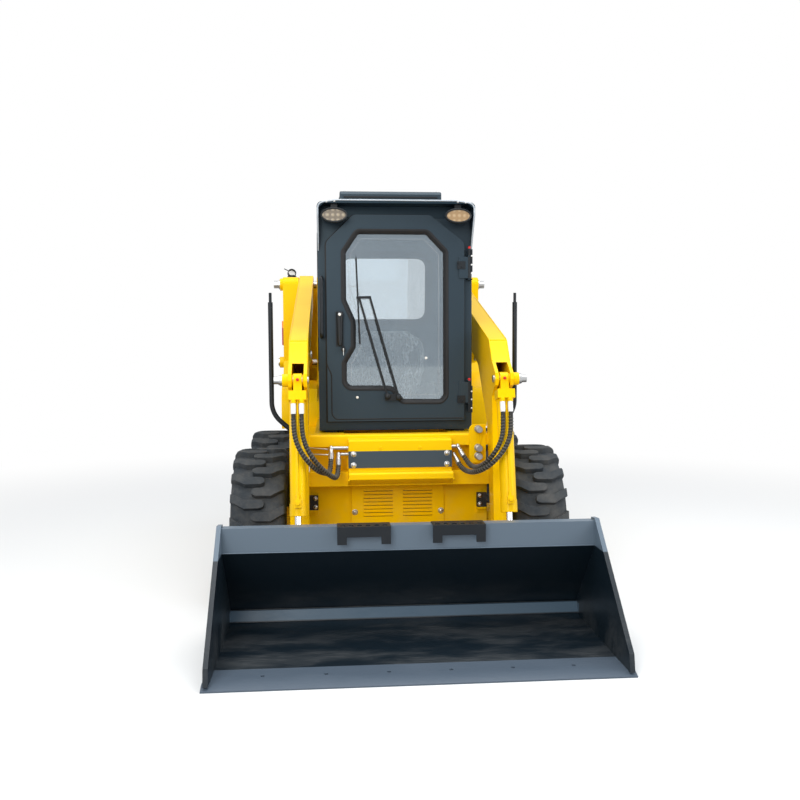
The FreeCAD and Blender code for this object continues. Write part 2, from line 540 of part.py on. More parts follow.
def build_cab():
    shell = new_body("cab_shell")
    outline = [("0", "cab_low_z"), ("0", "cab_top_z"), ("cab_rear_top_y", "cab_top_z"),
               ("cab_rear_y", "cab_waist_z"), ("cab_rear_y", "cab_low_z")]
    pad(shell, "cab_block", "YZ", "-cab_half", "cab_half", outline)
    pocket(shell, "cab_inside", "YZ", "-(cab_half - cab_wall)", "cab_half - cab_wall",
           [("cab_wall", "cab_low_z + cab_floor"), ("cab_wall", "cab_top_z + 5"),
            ("cab_rear_top_y - cab_wall", "cab_top_z + 5"), ("cab_rear_y - cab_wall", "cab_waist_z"),
            ("cab_rear_y - cab_wall", "cab_low_z + cab_floor")])
    pocket(shell, "door_opening", "XZ", "-5", "cab_wall + 5",
           [("door_right_x + 28", "door_low_z + 28"), ("door_left_x - 28", "door_low_z + 28"),
            ("door_left_x - 28", "door_chamfer_z - 12"), ("door_high_x - 12", "door_peak_z - 28"),
            ("door_peak_x + 12", "door_peak_z - 28"), ("door_right_x + 28", "door_chamfer_z - 12")])
    window = [("side_win_front_y", "side_win_low_z"), ("side_win_rear_y", "side_win_low_z"),
              ("side_win_rear_y", "side_win_top_z"), ("side_win_front_y", "side_win_top_z")]
    pocket(shell, "side_windows", "YZ", "-cab_half - 5", "cab_half + 5", window)
    round_corners(shell, "side_window_corners", "YZ", "window_round", window)
    rear = [("-rear_win_half", "rear_win_low_z"), ("rear_win_half", "rear_win_low_z"),
            ("rear_win_half", "rear_win_top_z"), ("-rear_win_half", "rear_win_top_z")]
    pocket(shell, "rear_window", "XZ", "cab_rear_top_y - cab_wall - 30", "cab_rear_y + 5", rear)
    pocket(shell, "well_opening", "XY", "cab_low_z - 5", "cab_low_z + cab_floor + 5",
           [("-well_half", "cab_wall + 4"), ("well_half", "cab_wall + 4"), ("well_half", "seat_front_y - 20"),
            ("-well_half", "seat_front_y - 20")])
    front = "-door_gap - door_wall"
    pins = hinge_pins("cab_hinge", "door_hinge_x", front, DOOR_HINGES, (f"{front} - 9", "1"))
    node("cab_frame", fuse("cab_welded", shell, *pins))
    glass = new_body("side_glass")
    inset = "glass_gap"
    pane = [(f"side_win_front_y + {inset}", f"side_win_low_z + {inset}"),
            (f"side_win_rear_y - {inset}", f"side_win_low_z + {inset}"),
            (f"side_win_rear_y - {inset}", f"side_win_top_z - {inset}"),
            (f"side_win_front_y + {inset}", f"side_win_top_z - {inset}")]
    pad(glass, "side_pane", "YZ", "cab_half - cab_wall / 2", "cab_half - cab_wall / 2 + glass_wall", pane)
    round_corners(glass, "side_pane_corners", "YZ", "window_round", pane)
    back = new_body("rear_glass")
    slope = "(cab_rear_y - cab_rear_top_y) / (cab_top_z - cab_waist_z)"
    low_y = f"cab_rear_y - 26 - (rear_win_low_z + {inset} - cab_waist_z) * {slope}"
    top_y = f"cab_rear_y - 26 - (rear_win_top_z - {inset} - cab_waist_z) * {slope}"
    pad(back, "rear_pane", "YZ", f"-(rear_win_half - {inset})", f"rear_win_half - {inset}",
        [(low_y, f"rear_win_low_z + {inset}"), (f"{low_y} + glass_wall", f"rear_win_low_z + {inset}"),
         (f"{top_y} + glass_wall", f"rear_win_top_z - {inset}"), (top_y, f"rear_win_top_z - {inset}")])
    node("cab_windows", gather("window_set", glass, mirrored("side_glass_twin", glass), back))


def build_roof():
    body = new_body("roof_shell")
    pad(body, "roof_cap", "XZ", "roof_front_y", "cab_rear_top_y",
        [("-cab_half", "cab_top_z"), ("cab_half", "cab_top_z"), ("cab_half", "cab_top_z + roof_side_tall"),
         ("unit_half + 20", "cab_top_z + roof_tall"), ("-(unit_half + 20)", "cab_top_z + roof_tall"),
         ("-cab_half", "cab_top_z + roof_side_tall")])
    round_corners(body, "roof_shoulder", "XZ", "roof_round", [("cab_half", "cab_top_z + roof_side_tall"),
                                                              ("-cab_half", "cab_top_z + roof_side_tall")])
    pocket(body, "visor_hollow", "XZ", "roof_front_y - 5", "0",
           [("-(cab_half - 11)", "cab_top_z - 5"), ("cab_half - 11", "cab_top_z - 5"),
            ("cab_half - 11", "cab_top_z + roof_side_tall - roof_round"),
            ("cab_half - 11 - roof_round", "cab_top_z + roof_tall - visor_wall"),
            ("-(cab_half - 11 - roof_round)", "cab_top_z + roof_tall - visor_wall"),
            ("-(cab_half - 11)", "cab_top_z + roof_side_tall - roof_round")])
    flange = new_body("visor_flange")
    pad(flange, "flange_plate", "YZ", "cab_half - 11", "cab_half",
        [("roof_front_y", "cab_top_z"), ("0", "flange_low_z"), ("0", "cab_top_z")])
    node("cab_roof", fuse("roof_welded", body, flange, mirrored("visor_flange_right", flange)))
    unit = new_body("roof_box")
    foot, top = "cab_top_z + roof_tall", "cab_top_z + roof_tall + unit_tall"
    pad(unit, "roof_box_block", "YZ", "-unit_half", "unit_half",
        [("unit_front_y", foot), ("unit_front_y", f"{top} - 20"), ("unit_front_y + unit_slope", top),
         ("unit_rear_y - 40", top), ("unit_rear_y", f"{top} - 60"), ("unit_rear_y", foot)])
    node("roof_unit", unit)


def oval(half, high, y):
    """An upright elliptical outline round the place of the left roof lamp."""
    ring = Part.Ellipse(Vector(), half, high).toShape()
    ring.rotate(Vector(), Vector(1, 0, 0), 90)
    ring.translate(Vector(size("lamp_x"), y, size("cab_top_z - lamp_drop")))
    return Part.Wire([ring])


def build_roof_lamps():
    """Elliptical lenses, each in the rim of a tapered pod that hangs from the visor."""
    half, high, rim = size("lamp_half"), size("lamp_high"), size("lamp_rim")
    front, wall, deep = size("roof_front_y + 3"), size("lamp_wall"), size("pod_deep")
    lens = Part.Face(oval(half - 0.3, high - 0.3, front)).extrude(Vector(0, wall, 0))
    node("roof_lamps", both("roof_lamp", from_shape("roof_lamp_lens", lens)))
    shell = Part.makeLoft([oval(half + rim, high + rim, front + 2), oval(half + rim, high + rim + 2, front + wall + 12),
                           oval(half * 0.6, high * 0.7, front + deep)], True, True)
    seat = Part.Face(oval(half, high, front)).extrude(Vector(0, wall, 0))
    lamp_z, ceiling = size("cab_top_z - lamp_drop"), size("cab_top_z + roof_tall - visor_wall")
    neck = Part.makeBox(36, 30, ceiling - lamp_z, Vector(size("lamp_x") - 18, front + wall + 14, lamp_z))
    node("lamp_pods", both("lamp_pod", from_shape("lamp_pod_body", shell.cut(seat).fuse(neck))))


def build_seat():
    base = box("seat_box", ("-(seat_half - 20)", "seat_half - 20"), ("seat_front_y + 20", "seat_rear_y"),
               ("cab_low_z + cab_floor", "seat_z - seat_thick"))
    cushion = new_body("seat_pad")
    pad(cushion, "seat_pad_block", "YZ", "-seat_half", "seat_half",
        [("seat_front_y", "seat_z - seat_thick"), ("seat_front_y", "seat_z - 20"), ("seat_front_y + 60", "seat_z"),
         ("seat_rear_y", "seat_z - 30"), ("seat_rear_y", "seat_z - seat_thick")])
    node("seat_cushion", cushion)
    back = new_body("back_pad")
    pad(back, "back_pad_block", "YZ", "-seat_half", "seat_half",
        [("seat_rear_y - back_thick + 20", "seat_z - 23.1"), ("seat_rear_y - back_thick + 60", "back_top_z"),
         ("seat_rear_y + 40", "back_top_z"), ("seat_rear_y + 12", "seat_z - 25")])
    node("seat_back", back)
    console = new_body("side_console")
    pad(console, "console_block", "YZ", "console_in", "console_out",
        [("seat_front_y - 40", "cab_low_z + cab_floor"), ("seat_front_y - 60", "console_top_z - 60"),
         ("seat_front_y", "console_top_z"), ("seat_rear_y - 40", "console_top_z"),
         ("seat_rear_y - 40", "cab_low_z + cab_floor")])
    node("seat_base", gather("seat_base_set", base, console, mirrored("console_twin", console)))
    stick = fuse("lever", rod("lever_stem", "Z", "9", "console_top_z - 6", "console_top_z + 130",
                              "(console_in + console_out) / 2", "seat_front_y + 60"),
                 rod("lever_grip", "Z", "20", "console_top_z + 60", "console_top_z + 165",
                     "(console_in + console_out) / 2", "seat_front_y + 60"))
    stick = cut("lever_seated", stick, box("lever_foot", ("console_in", "console_out"), ("seat_front_y", "seat_rear_y"),
                                           ("console_top_z - 60", "console_top_z")))
    node("control_levers", both("lever", stick))


def hinge_pins(name, x, y, places, reach):
    """Upright pins held between two ears that reach back to the fixed piece; places are (low, high) in z."""
    pieces = []
    for index, (low, high) in enumerate(places):
        pieces.append(rod(f"{name}_pin_{index}", "Z", "hinge_r", f"{low} - 8", f"{high} + 8", x, y))
        for end, (foot, top) in enumerate(((f"{low} - 8", f"{low} - 1"), (f"{high} + 1", f"{high} + 8"))):
            pieces.append(box(f"{name}_ear_{index}_{end}", (f"{x} - 9", f"{x} + 9"), reach, (foot, top)))
    return pieces


def knuckles(name, x, y, places, leaf_x, leaf_y):
    """Hinge eyes round those pins, each with its leaf, as solids to add and holes to cut."""
    solids, holes = [], []
    for index, (low, high) in enumerate(places):
        solids += [rod(f"{name}_eye_{index}", "Z", "knuckle_r", low, high, x, y),
                   box(f"{name}_leaf_{index}", leaf_x, leaf_y, (low, high))]
        holes.append(rod(f"{name}_hole_{index}", "Z", "hinge_r + pin_gap", f"{low} - 1", f"{high} + 1", x, y))
    return solids, holes


def build_engine():
    node("engine_block", box("engine", ("-engine_half", "engine_half"), ("engine_front_y", "engine_rear_y"),
                             ("engine_low_z", "engine_top_z")))
    lid = new_body("hood_lid")
    pad(lid, "hood_sheet", "YZ", "-hood_half", "hood_half",
        [("hood_front_y", "hood_front_z - hood_wall"), ("hood_front_y", "hood_front_z"),
         ("hood_mid_y", "hood_front_z - 10"), ("tower_tail_y + 10", "hood_tail_z"),
         ("tower_tail_y + 10", "hood_tail_z - hood_wall"), ("hood_mid_y", "hood_front_z - 10 - hood_wall")])
    sockets = [rod(f"hood_socket_{side}", "X", "hood_pin_r + pin_gap", low, high, "hood_pin_y", "hood_pin_z")
               for side, low, high in (("left", "hood_half - 22", "hood_half + 5"),
                                       ("right", "-hood_half - 5", "22 - hood_half"))]
    node("engine_hood", cut("hood_drilled", lid, *sockets))
    door = new_body("rear_door_panel")
    pad(door, "rear_door_sheet", "XZ", "rear_door_y", "rear_door_y + rear_door_wall",
        [("-rear_door_half", "rear_door_low_z"), ("rear_door_half", "rear_door_low_z"),
         ("rear_door_half", "rear_door_top_z"), ("-rear_door_half", "rear_door_top_z")])
    pocket(door, "grille_hole", "XZ", "rear_door_y - 5", "rear_door_y + rear_door_wall + 5",
           [("-grille_half", "grille_low_z"), ("grille_half", "grille_low_z"), ("grille_half", "grille_top_z"),
            ("-grille_half", "grille_top_z")])
    solids, holes = knuckles("rear_hinge", "rear_hinge_x", "rear_hinge_y", REAR_HINGES,
                             ("rear_hinge_x", "4 - rear_door_half"), ("rear_hinge_y + 3", "rear_hinge_y + 9"))
    node("rear_door", cut("rear_door_drilled", fuse("rear_door_welded", door, *solids), *holes))
    count = int(size("slat_count"))
    slats = []
    for index in range(count):
        low = f"grille_low_z + {index + 0.5} * (grille_top_z - grille_low_z) / {count} - 6"
        slat = new_body(f"slat_{index}")
        pad(slat, f"slat_bar_{index}", "YZ", "-grille_half", "grille_half",
            [("rear_door_y + 8", f"{low} + 10"), ("rear_door_y + 8", f"{low} + 16"),
             ("rear_door_y + 34", f"{low} + 2"), ("rear_door_y + 34", f"{low} - 4")])
        slats.append(slat)
    node("rear_grille", gather("slat_set", *slats))


def build_exhaust_and_lamps():
    pipe = cut("stack_pipe", rod("stack_bar", "Z", "stack_r", "tower_top_z", "stack_top_z", "stack_x", "stack_y"),
               rod("stack_hole", "Z", "stack_r - 4", "tower_top_z + 10", "stack_top_z + 5", "stack_x", "stack_y"))
    node("exhaust_stack", pipe)
    lamp = new_body("tail_lamp")
    pad(lamp, "tail_lamp_block", "XZ", "tail_lamp_y", "tail_lamp_y + 60",
        [("tower_out", "tail_lamp_low_z"), ("tail_lamp_out", "tail_lamp_low_z + 12"),
         ("tail_lamp_out", "tail_lamp_top_z - 12"), ("tower_out", "tail_lamp_top_z")])
    node("tail_lamps", both("tail_lamp_body", lamp))


def build_posts():
    foot = "fender_z + fender_wall"
    knee = size("post_x") - size("post_foot_x")
    route = [(size("post_foot_x"), size("post_y"), size(foot)),
             (size("post_foot_x"), size("post_y"), size("post_knee_z") - knee * 0.9),
             (size("post_x"), size("post_y"), size("post_knee_z")),
             (size("post_x"), size("post_y"), size("post_top_z"))]
    shape, _, _ = tube(route, size("post_r"), bend=0.35)
    tip = Part.makeCylinder(size("post_tip_r"), size("stub_top_z - post_top_z + 2"),
                            Vector(size("post_x"), size("post_y"), size("post_top_z - 2")))
    post = from_shape("post_shape", shape.fuse(tip))
    node("mirror_posts", both("post", post))


def build_grab_handle():
    x, stand = -size("cab_half - 20"), 60
    low, high = 1476, 1808
    route = [(x, 0, low), (x, -stand, low), (x, -stand, high), (x, 0, high)]
    shape, _, _ = tube(route, 11, bend=0.4)
    node("grab_handle", from_shape("grab_shape", shape))


def along(name, radius, near, far, x, start, end):
    """A round bar centred on the line from start to end (both y, z), between two distances from start."""
    bar = doc.addObject("Part::Cylinder", name)
    bar.Placement = FreeCAD.Placement(Vector(), FreeCAD.Rotation(Vector(1, 0, 0), 1))
    (y0, z0), (y1, z1) = start, end
    span = f"sqrt(({y1} - {y0})^2 + ({z1} - {z0})^2)"
    bind(bar, Radius=radius, Height=f"({far}) - ({near})", Placement__Base__x=x,
         Placement__Base__y=f"{y0} + ({near}) * ({y1} - {y0}) / {span}",
         Placement__Base__z=f"{z0} + ({near}) * ({z1} - {z0}) / {span}",
         Placement__Rotation__Angle=f"-atan2({y1} - {y0}; {z1} - {z0})")
    return bar


def posed(name, source, x, start, end):
    """A piece modelled upright at the origin, stood at start with its Z axis towards end."""
    holder = doc.addObject("Part::Compound", name)
    holder.Links = [source]
    holder.Placement = FreeCAD.Placement(Vector(), FreeCAD.Rotation(Vector(1, 0, 0), 1))
    (y0, z0), (y1, z1) = start, end
    bind(holder, Placement__Base__x=x, Placement__Base__y=y0, Placement__Base__z=z0,
         Placement__Rotation__Angle=f"-atan2({y1} - {y0}; {z1} - {z0})")
    return holder


TILT_LINE = (("tilt_y", "tilt_z"), ("upper_y", "upper_z"))
LIFT_LINE = (("lift_base_y", "lift_base_z"), ("lift_eye_y", "lift_eye_z"))
TILT_SPAN = "sqrt((upper_y - tilt_y)^2 + (upper_z - tilt_z)^2)"
LIFT_SPAN = "sqrt((lift_eye_y - lift_base_y)^2 + (lift_eye_z - lift_base_z)^2)"


def build_arms():
    arm = new_body("arm_box")
    pad(arm, "arm_block", "YZ", "arm_in", "arm_out",
        [("arm_crest_y", "arm_crest_z"), ("arm_crest_y + 60", "arm_crest_z + 28"),
         ("arm_tail_y - 32", "arm_crest_z + 30"), ("arm_tail_y", "arm_crest_z"), ("arm_tail_y", "pivot_z - 40"),
         ("pivot_y + 30", "pivot_z - 66"), ("belly_rear_y", "belly_rear_z"), ("belly_y", "belly_z"),
         ("leg_rear_y", "leg_rear_z"), ("leg_foot_y", "leg_foot_z"), ("hinge_y + 52", "hinge_z"),
         ("hinge_y + 36", "hinge_z - 38"), ("hinge_y", "hinge_z - 54"), ("hinge_y - 38", "hinge_z - 38"),
         ("hinge_y - 54", "hinge_z"), ("hinge_y - 34", "hinge_z + 44"), ("hinge_y + 50", "hinge_z + 110"),
         ("leg_front_y - 40", "leg_foot_z + 80"), ("leg_front_y", "leg_front_z"), ("tilt_y", "tilt_z - 46"),
         ("tilt_y - 32", "tilt_z - 33"), ("tilt_y - 46", "tilt_z"), ("tilt_y - 32", "tilt_z + 33"),
         ("brow_y", "brow_z"), ("elbow_y", "elbow_z")])
    inner = ("arm_in + arm_wall", "arm_out - arm_wall")
    pocket(arm, "arm_inside", "YZ", *inner,
           [("arm_crest_y", "arm_crest_z - 15"), ("elbow_y + 8", "elbow_z - 14"), ("brow_y + 12", "brow_z - 6"),
            ("tilt_y - 60", "brow_z - 6"), ("tilt_y - 60", "leg_front_z + 10"), ("leg_front_y + 14", "leg_front_z + 10"),
            ("leg_front_y + 14", "leg_front_z"), ("leg_front_y - 26", "leg_foot_z + 80"),
            ("hinge_y + 68", "hinge_z + 200"), ("leg_foot_y - 18", "leg_foot_z"), ("leg_rear_y - 14", "leg_rear_z + 4"),
            ("belly_y - 6", "belly_z + 13"), ("belly_rear_y", "belly_rear_z + 15")])
    pocket(arm, "eye_opening", "YZ", *inner,
           [("lift_eye_y - 130", "belly_z - 20"), ("lift_eye_y + 230", "belly_z - 20"),
            ("lift_eye_y + 230", "lift_eye_z + 160"), ("lift_eye_y - 130", "lift_eye_z + 110")])
    round_corners(arm, "arm_fold", "YZ", "arm_round", [("elbow_y", "elbow_z")])
    pieces = []
    for name, low, high in (("lug_inner", "arm_in", "arm_in + arm_wall"), ("lug_outer", "arm_out - arm_wall", "arm_out")):
        lug = new_body(name)
        pad(lug, name + "_plate", "YZ", low, high,
            [("lift_eye_y - 120", "lift_eye_z + 60"), ("lift_eye_y - 42", "lift_eye_z - 22"),
             ("lift_eye_y - 22", "lift_eye_z - 42"), ("lift_eye_y + 22", "lift_eye_z - 42"),
             ("lift_eye_y + 46", "lift_eye_z - 18"), ("lift_eye_y + 190", "lift_eye_z + 130")])
        pieces.append(lug)
    pieces += [rod("tilt_boss", "X", "34", "arm_out - 1", "tilt_boss_out", "tilt_y", "tilt_z"),
               rod("tilt_spacer_out", "X", "30", "tilt_x + tilt_eye_wide / 2 + 3", "arm_out - arm_wall + 1",
                   "tilt_y", "tilt_z"),
               rod("tilt_spacer_in", "X", "30", "arm_in + arm_wall - 1", "tilt_x - tilt_eye_wide / 2 - 3",
                   "tilt_y", "tilt_z")]
    holes = [rod("arm_pivot_hole", "X", "pivot_pin_r + pin_gap", "arm_in - 5", "arm_out + 5", "pivot_y", "pivot_z"),
             rod("arm_hinge_hole", "X", "hinge_pin_r + pin_gap", "arm_in - 5", "arm_out + 5", "hinge_y", "hinge_z"),
             rod("arm_tilt_hole", "X", "tilt_pin_r", "arm_in - 5", "tilt_boss_out + 5", "tilt_y", "tilt_z")]
    left = cut("arm_drilled", fuse("arm_welded", arm, *pieces), *holes)
    node("arm_left", left)
    node("arm_right", mirrored("arm_twin", left))
    tilt_pin = fuse("tilt_pin", rod("tilt_pin_bar", "X", "tilt_pin_r", "arm_in - 7", "tilt_tip_x", "tilt_y", "tilt_z"),
                    rod("tilt_pin_head", "X", "tilt_pin_r + 8", "tilt_boss_out", "tilt_boss_out + 12",
                        "tilt_y", "tilt_z"))
    stubs = [rod("eye_cap_out", "X", "30", "arm_out", "arm_out + 5", "lift_eye_y", "lift_eye_z"),
             rod("eye_cap_in", "X", "30", "arm_in - 8", "arm_in", "lift_eye_y", "lift_eye_z")]
    pins = [tilt_pin, *stubs]
    node("arm_pins", gather("arm_pin_set", *pins, *[mirrored(f"arm_pin_twin_{i}", p) for i, p in enumerate(pins)]))


def build_cross_member():
    beam = new_body("beam")
    pad(beam, "beam_web", "YZ", "-arm_in", "arm_in",
        [("beam_rear_y - 15", "beam_low_z"), ("beam_rear_y", "beam_low_z"), ("beam_rear_y", "beam_top_z"),
         ("beam_rear_y - 15", "beam_top_z")])
    pad(beam, "beam_top", "YZ", "-arm_in", "arm_in",
        [("beam_front_y", "beam_top_z - 65"), ("beam_rear_y - 5", "beam_top_z - 65"),
         ("beam_rear_y - 5", "beam_top_z"), ("beam_front_y + 8", "beam_top_z"), ("beam_front_y", "beam_top_z - 8")])
    pad(beam, "beam_foot", "YZ", "-arm_in", "arm_in",
        [("beam_front_y - 30", "beam_low_z"), ("beam_rear_y - 5", "beam_low_z"),
         ("beam_rear_y - 5", "beam_low_z + 80"), ("beam_front_y - 30", "beam_low_z + 80")])
    pad(beam, "beam_middle", "YZ", "-chin_half", "chin_half",
        [("beam_front_y - 35", "beam_low_z + 9"), ("chin_y", "chin_low_z"), ("chin_y", "chin_top_z - 8"),
         ("chin_y + 8", "chin_top_z"), ("beam_front_y - 65", "chin_top_z + 4"), ("beam_front_y - 65", "beam_top_z - 30"),
         ("beam_front_y - 50", "beam_top_z - 20"), ("beam_rear_y - 5", "beam_top_z - 20"),
         ("beam_rear_y - 5", "beam_low_z + 9")])
    node("cross_member", beam)
    node("cover_plate", box("cover_sheet", ("-chin_half", "chin_half"),
                            ("beam_front_y - 65 - cover_wall", "beam_front_y - 65"), ("cover_low_z", "cover_top_z")))
    bracket = new_body("bracket_body")
    couplers = ["bracket_top_z - 25", "bracket_top_z - 129", "bracket_top_z - 174"]
    pad(bracket, "bracket_plate", "XZ", "beam_front_y - bracket_wall", "beam_front_y",
        [("bracket_in", "bracket_low_z"), ("bracket_out", "bracket_low_z"), ("bracket_out", "bracket_top_z"),
         ("bracket_in", "bracket_top_z")], [("coupler_x", z, "10") for z in couplers])
    round_corners(bracket, "bracket_corner", "XZ", "30", [("bracket_in", "bracket_top_z")])
    node("coupler_bracket", bracket)
    fronts = []
    for index, z in enumerate(couplers):
        face = "beam_front_y - bracket_wall"
        fronts.append(fuse(f"coupler_{index}", rod(f"coupler_base_{index}", "Y", "coupler_r", f"{face} - 22", face,
                                                   "coupler_x", z),
                           rod(f"coupler_nose_{index}", "Y", "coupler_r - 4", f"{face} - coupler_long", f"{face} - 21",
                               "coupler_x", z)))
    return fronts


def build_hoses(couplers):
    report, ends = [], []
    for name, route in HOSE_ROUTES.items():
        shape, radii, length = tube(route, HOSE_R)
        node(name, from_shape(name + "_shape", shape))
        report.append((name, shape.Volume / (math.pi * HOSE_R ** 2 * length), min(radii) / (2 * HOSE_R)))
        tip, run = Vector(*route[-1]), Vector(*route[-1]) - Vector(*route[-2])
        run.normalize()
        heel = tip + run * 24
        side = math.copysign(size("chin_half"), tip.x)
        nipple = Part.makeCylinder(HOSE_R, 24, tip, run)
        bar = Part.makeCylinder(9, abs(heel.x - side), Vector(side, heel.y, heel.z), Vector(heel.x - side, 0, 0))
        knuckle = Part.makeSphere(14, heel)
        ends.append(from_shape(name + "_end", nipple.fuse([bar, knuckle])))
    node("hydraulic_fittings", gather("fitting_set", *ends, *couplers))
    return report


def build_tilt_cylinders():
    block = box("port_block", ("-tilt_block / 2", "tilt_block / 2"), ("-25", "66"), ("66", "114"))
    pieces = [rod("tilt_eye", "X", "tilt_eye_r", "-tilt_eye_wide / 2", "tilt_eye_wide / 2", "0", "0"),
              box("tilt_neck", ("-tilt_eye_wide / 2", "tilt_eye_wide / 2"), ("-25", "30"), ("10", "70")), block,
              rod("tilt_tube", "Z", "tilt_barrel_r", "100", "tilt_barrel_end", "0", "0"),
              rod("tilt_cap", "Z", "tilt_barrel_r + 3", "tilt_barrel_end - 60", "tilt_barrel_end + 5", "0", "0"),
              rod("tilt_pipe", "Z", "tilt_pipe_r", "110", "tilt_barrel_end - 60", "0", "tilt_barrel_r + tilt_pipe_r - 2"),
              box("tilt_port", ("-16", "16"), ("tilt_barrel_r - 6", "tilt_barrel_r + 18"),
                  ("tilt_barrel_end - 78", "tilt_barrel_end - 36"))]
    pieces += [rod(f"fitting_{side}", "Z", "fitting_r", "112", "fitting_end", f"{sign} * fitting_x", "fitting_off")
               for side, sign in (("left", 1), ("right", -1))]
    tools = [rod("tilt_pin_hole", "X", "tilt_pin_r + pin_gap", "-30", "30", "0", "0"),
             rod("tilt_bore", "Z", "tilt_bore_r", "125", "tilt_barrel_end - 40", "0", "0"),
             rod("tilt_gland", "Z", "tilt_rod_r + pin_gap", "tilt_barrel_end - 41", "tilt_barrel_end + 6", "0", "0")]
    barrel = posed("tilt_barrel_left", cut("tilt_barrel", fuse("tilt_barrel_welded", *pieces), *tools), "tilt_x",
                   *TILT_LINE)
    node("tilt_barrels", both("tilt_barrel", barrel))
    shaft = along("tilt_shaft", "tilt_rod_r", "215", f"{TILT_SPAN} - 10", "tilt_x", *TILT_LINE)
    eye = rod("tilt_rod_eye", "X", "rod_eye_r", "tilt_x - rod_eye_wide / 2", "tilt_x + rod_eye_wide / 2",
              "upper_y", "upper_z")
    node("tilt_rods", both("tilt_rod", fuse("tilt_rod", shaft, eye)))


def build_lift_cylinders():
    pieces = [rod("lift_eye", "X", "lift_eye_r", "-28", "28", "0", "0"),
              rod("lift_tube", "Z", "lift_barrel_r", "30", "lift_barrel_end", "0", "0"),
              rod("lift_cap", "Z", "lift_barrel_r + 3", "lift_barrel_end - 60", "lift_barrel_end + 5", "0", "0")]
    tools = [rod("lift_pin_hole", "X", "lift_pin_r + pin_gap", "-30", "30", "0", "0"),
             rod("lift_bore", "Z", "lift_bore_r", "70", "lift_barrel_end - 40", "0", "0"),
             rod("lift_gland", "Z", "lift_rod_r + pin_gap", "lift_barrel_end - 41", "lift_barrel_end + 6", "0", "0")]
    barrel = posed("lift_barrel_left", cut("lift_barrel", fuse("lift_barrel_welded", *pieces), *tools), "lift_x",
                   *LIFT_LINE)
    node("lift_barrels", both("lift_barrel", barrel))
    shaft = along("lift_shaft", "lift_rod_r", "85", f"{LIFT_SPAN} - 10", "lift_x", *LIFT_LINE)
    eye = rod("lift_rod_eye", "X", "38", "lift_x - rod_eye_wide / 2", "lift_x + rod_eye_wide / 2",
              "lift_eye_y", "lift_eye_z")
    node("lift_rods", both("lift_rod", fuse("lift_rod", shaft, eye)))


RUN, RISE = "(lip_y - strip_y)", "(lip_low_z - strip_z)"
SLOPE = f"sqrt({RUN}^2 + {RISE}^2)"


def on_back(up, out):
    """A point up along the leaning back of the bucket and out behind it."""
    return (f"strip_y + ({up}) * {RUN} / {SLOPE} + ({out}) * {RISE} / {SLOPE}",
            f"strip_z + ({up}) * {RISE} / {SLOPE} - ({out}) * {RUN} / {SLOPE}")


def build_coupler():
    plate = new_body("coupler_plate")
    pad(plate, "coupler_sheet", "YZ", "-hook_half", "hook_half",
        [on_back(up, out) for up, out in ((10, "floor_wall"), (355, "floor_wall"), (355, "frame_deep"),
                                          (341, "frame_deep"), (327, "floor_wall + 18"), (34, "floor_wall + 18"),
                                          (22, "frame_deep"), (10, "frame_deep"))])
    ears = []
    for name, low, high in (("hinge_ear_inner", "hinge_ear_in", "hinge_ear_in + ear_wall"),
                            ("hinge_ear_outer", "hinge_ear_out - 12", "hinge_ear_out")):
        web = new_body(name)
        pad(web, name + "_web", "YZ", low, high,
            [on_back(10, "floor_wall + 17"), ("hinge_y - 18", "hinge_z - 42"), ("hinge_y + 36", "hinge_z - 26"),
             ("hinge_y + 44", "hinge_z + 10"), ("hinge_y + 26", "hinge_z + 36"), on_back(170, "floor_wall + 17")])
        ears.append(web)
    for name, low in (("upper_ear_inner", "ear_in"), ("upper_ear_outer", "ear_out - ear_wall")):
        web = new_body(name)
        pad(web, name + "_web", "YZ", low, f"{low} + ear_wall",
            [on_back(130, "floor_wall + 17"), ("upper_y + 8", "upper_z - 42"), ("upper_y + 38", "upper_z - 18"),
             ("upper_y + 42", "upper_z + 6"), ("upper_y + 20", "upper_z + 38"), ("upper_y - 20", "upper_z + 38"),
             on_back(310, "floor_wall + 17")])
        ears.append(web)
    pin = rod("hinge_bar", "X", "hinge_pin_r", "hinge_ear_in - 12", "hinge_ear_out", "hinge_y", "hinge_z")
    caps = [rod("upper_cap_inner", "X", "24", "ear_in - 8", "ear_in + 1", "upper_y", "upper_z"),
            rod("upper_cap_outer", "X", "24", "ear_out - 1", "ear_out + 8", "upper_y", "upper_z")]
    side = fuse("coupler_side", *ears, pin, *caps)
    node("coupler_frame", fuse("coupler_welded", plate, side, mirrored("coupler_side_twin", side)))
    lever = new_body("lever_body")
    pad(lever, "lever_plate", "YZ", "330", "342",
        [on_back(60, "floor_wall + 18"), on_back(60, "floor_wall + 58"), on_back(300, "floor_wall + 74"),
         on_back(310, "floor_wall + 48"), on_back(90, "floor_wall + 18")])
    node("coupler_levers", both("lever_plate", lever))


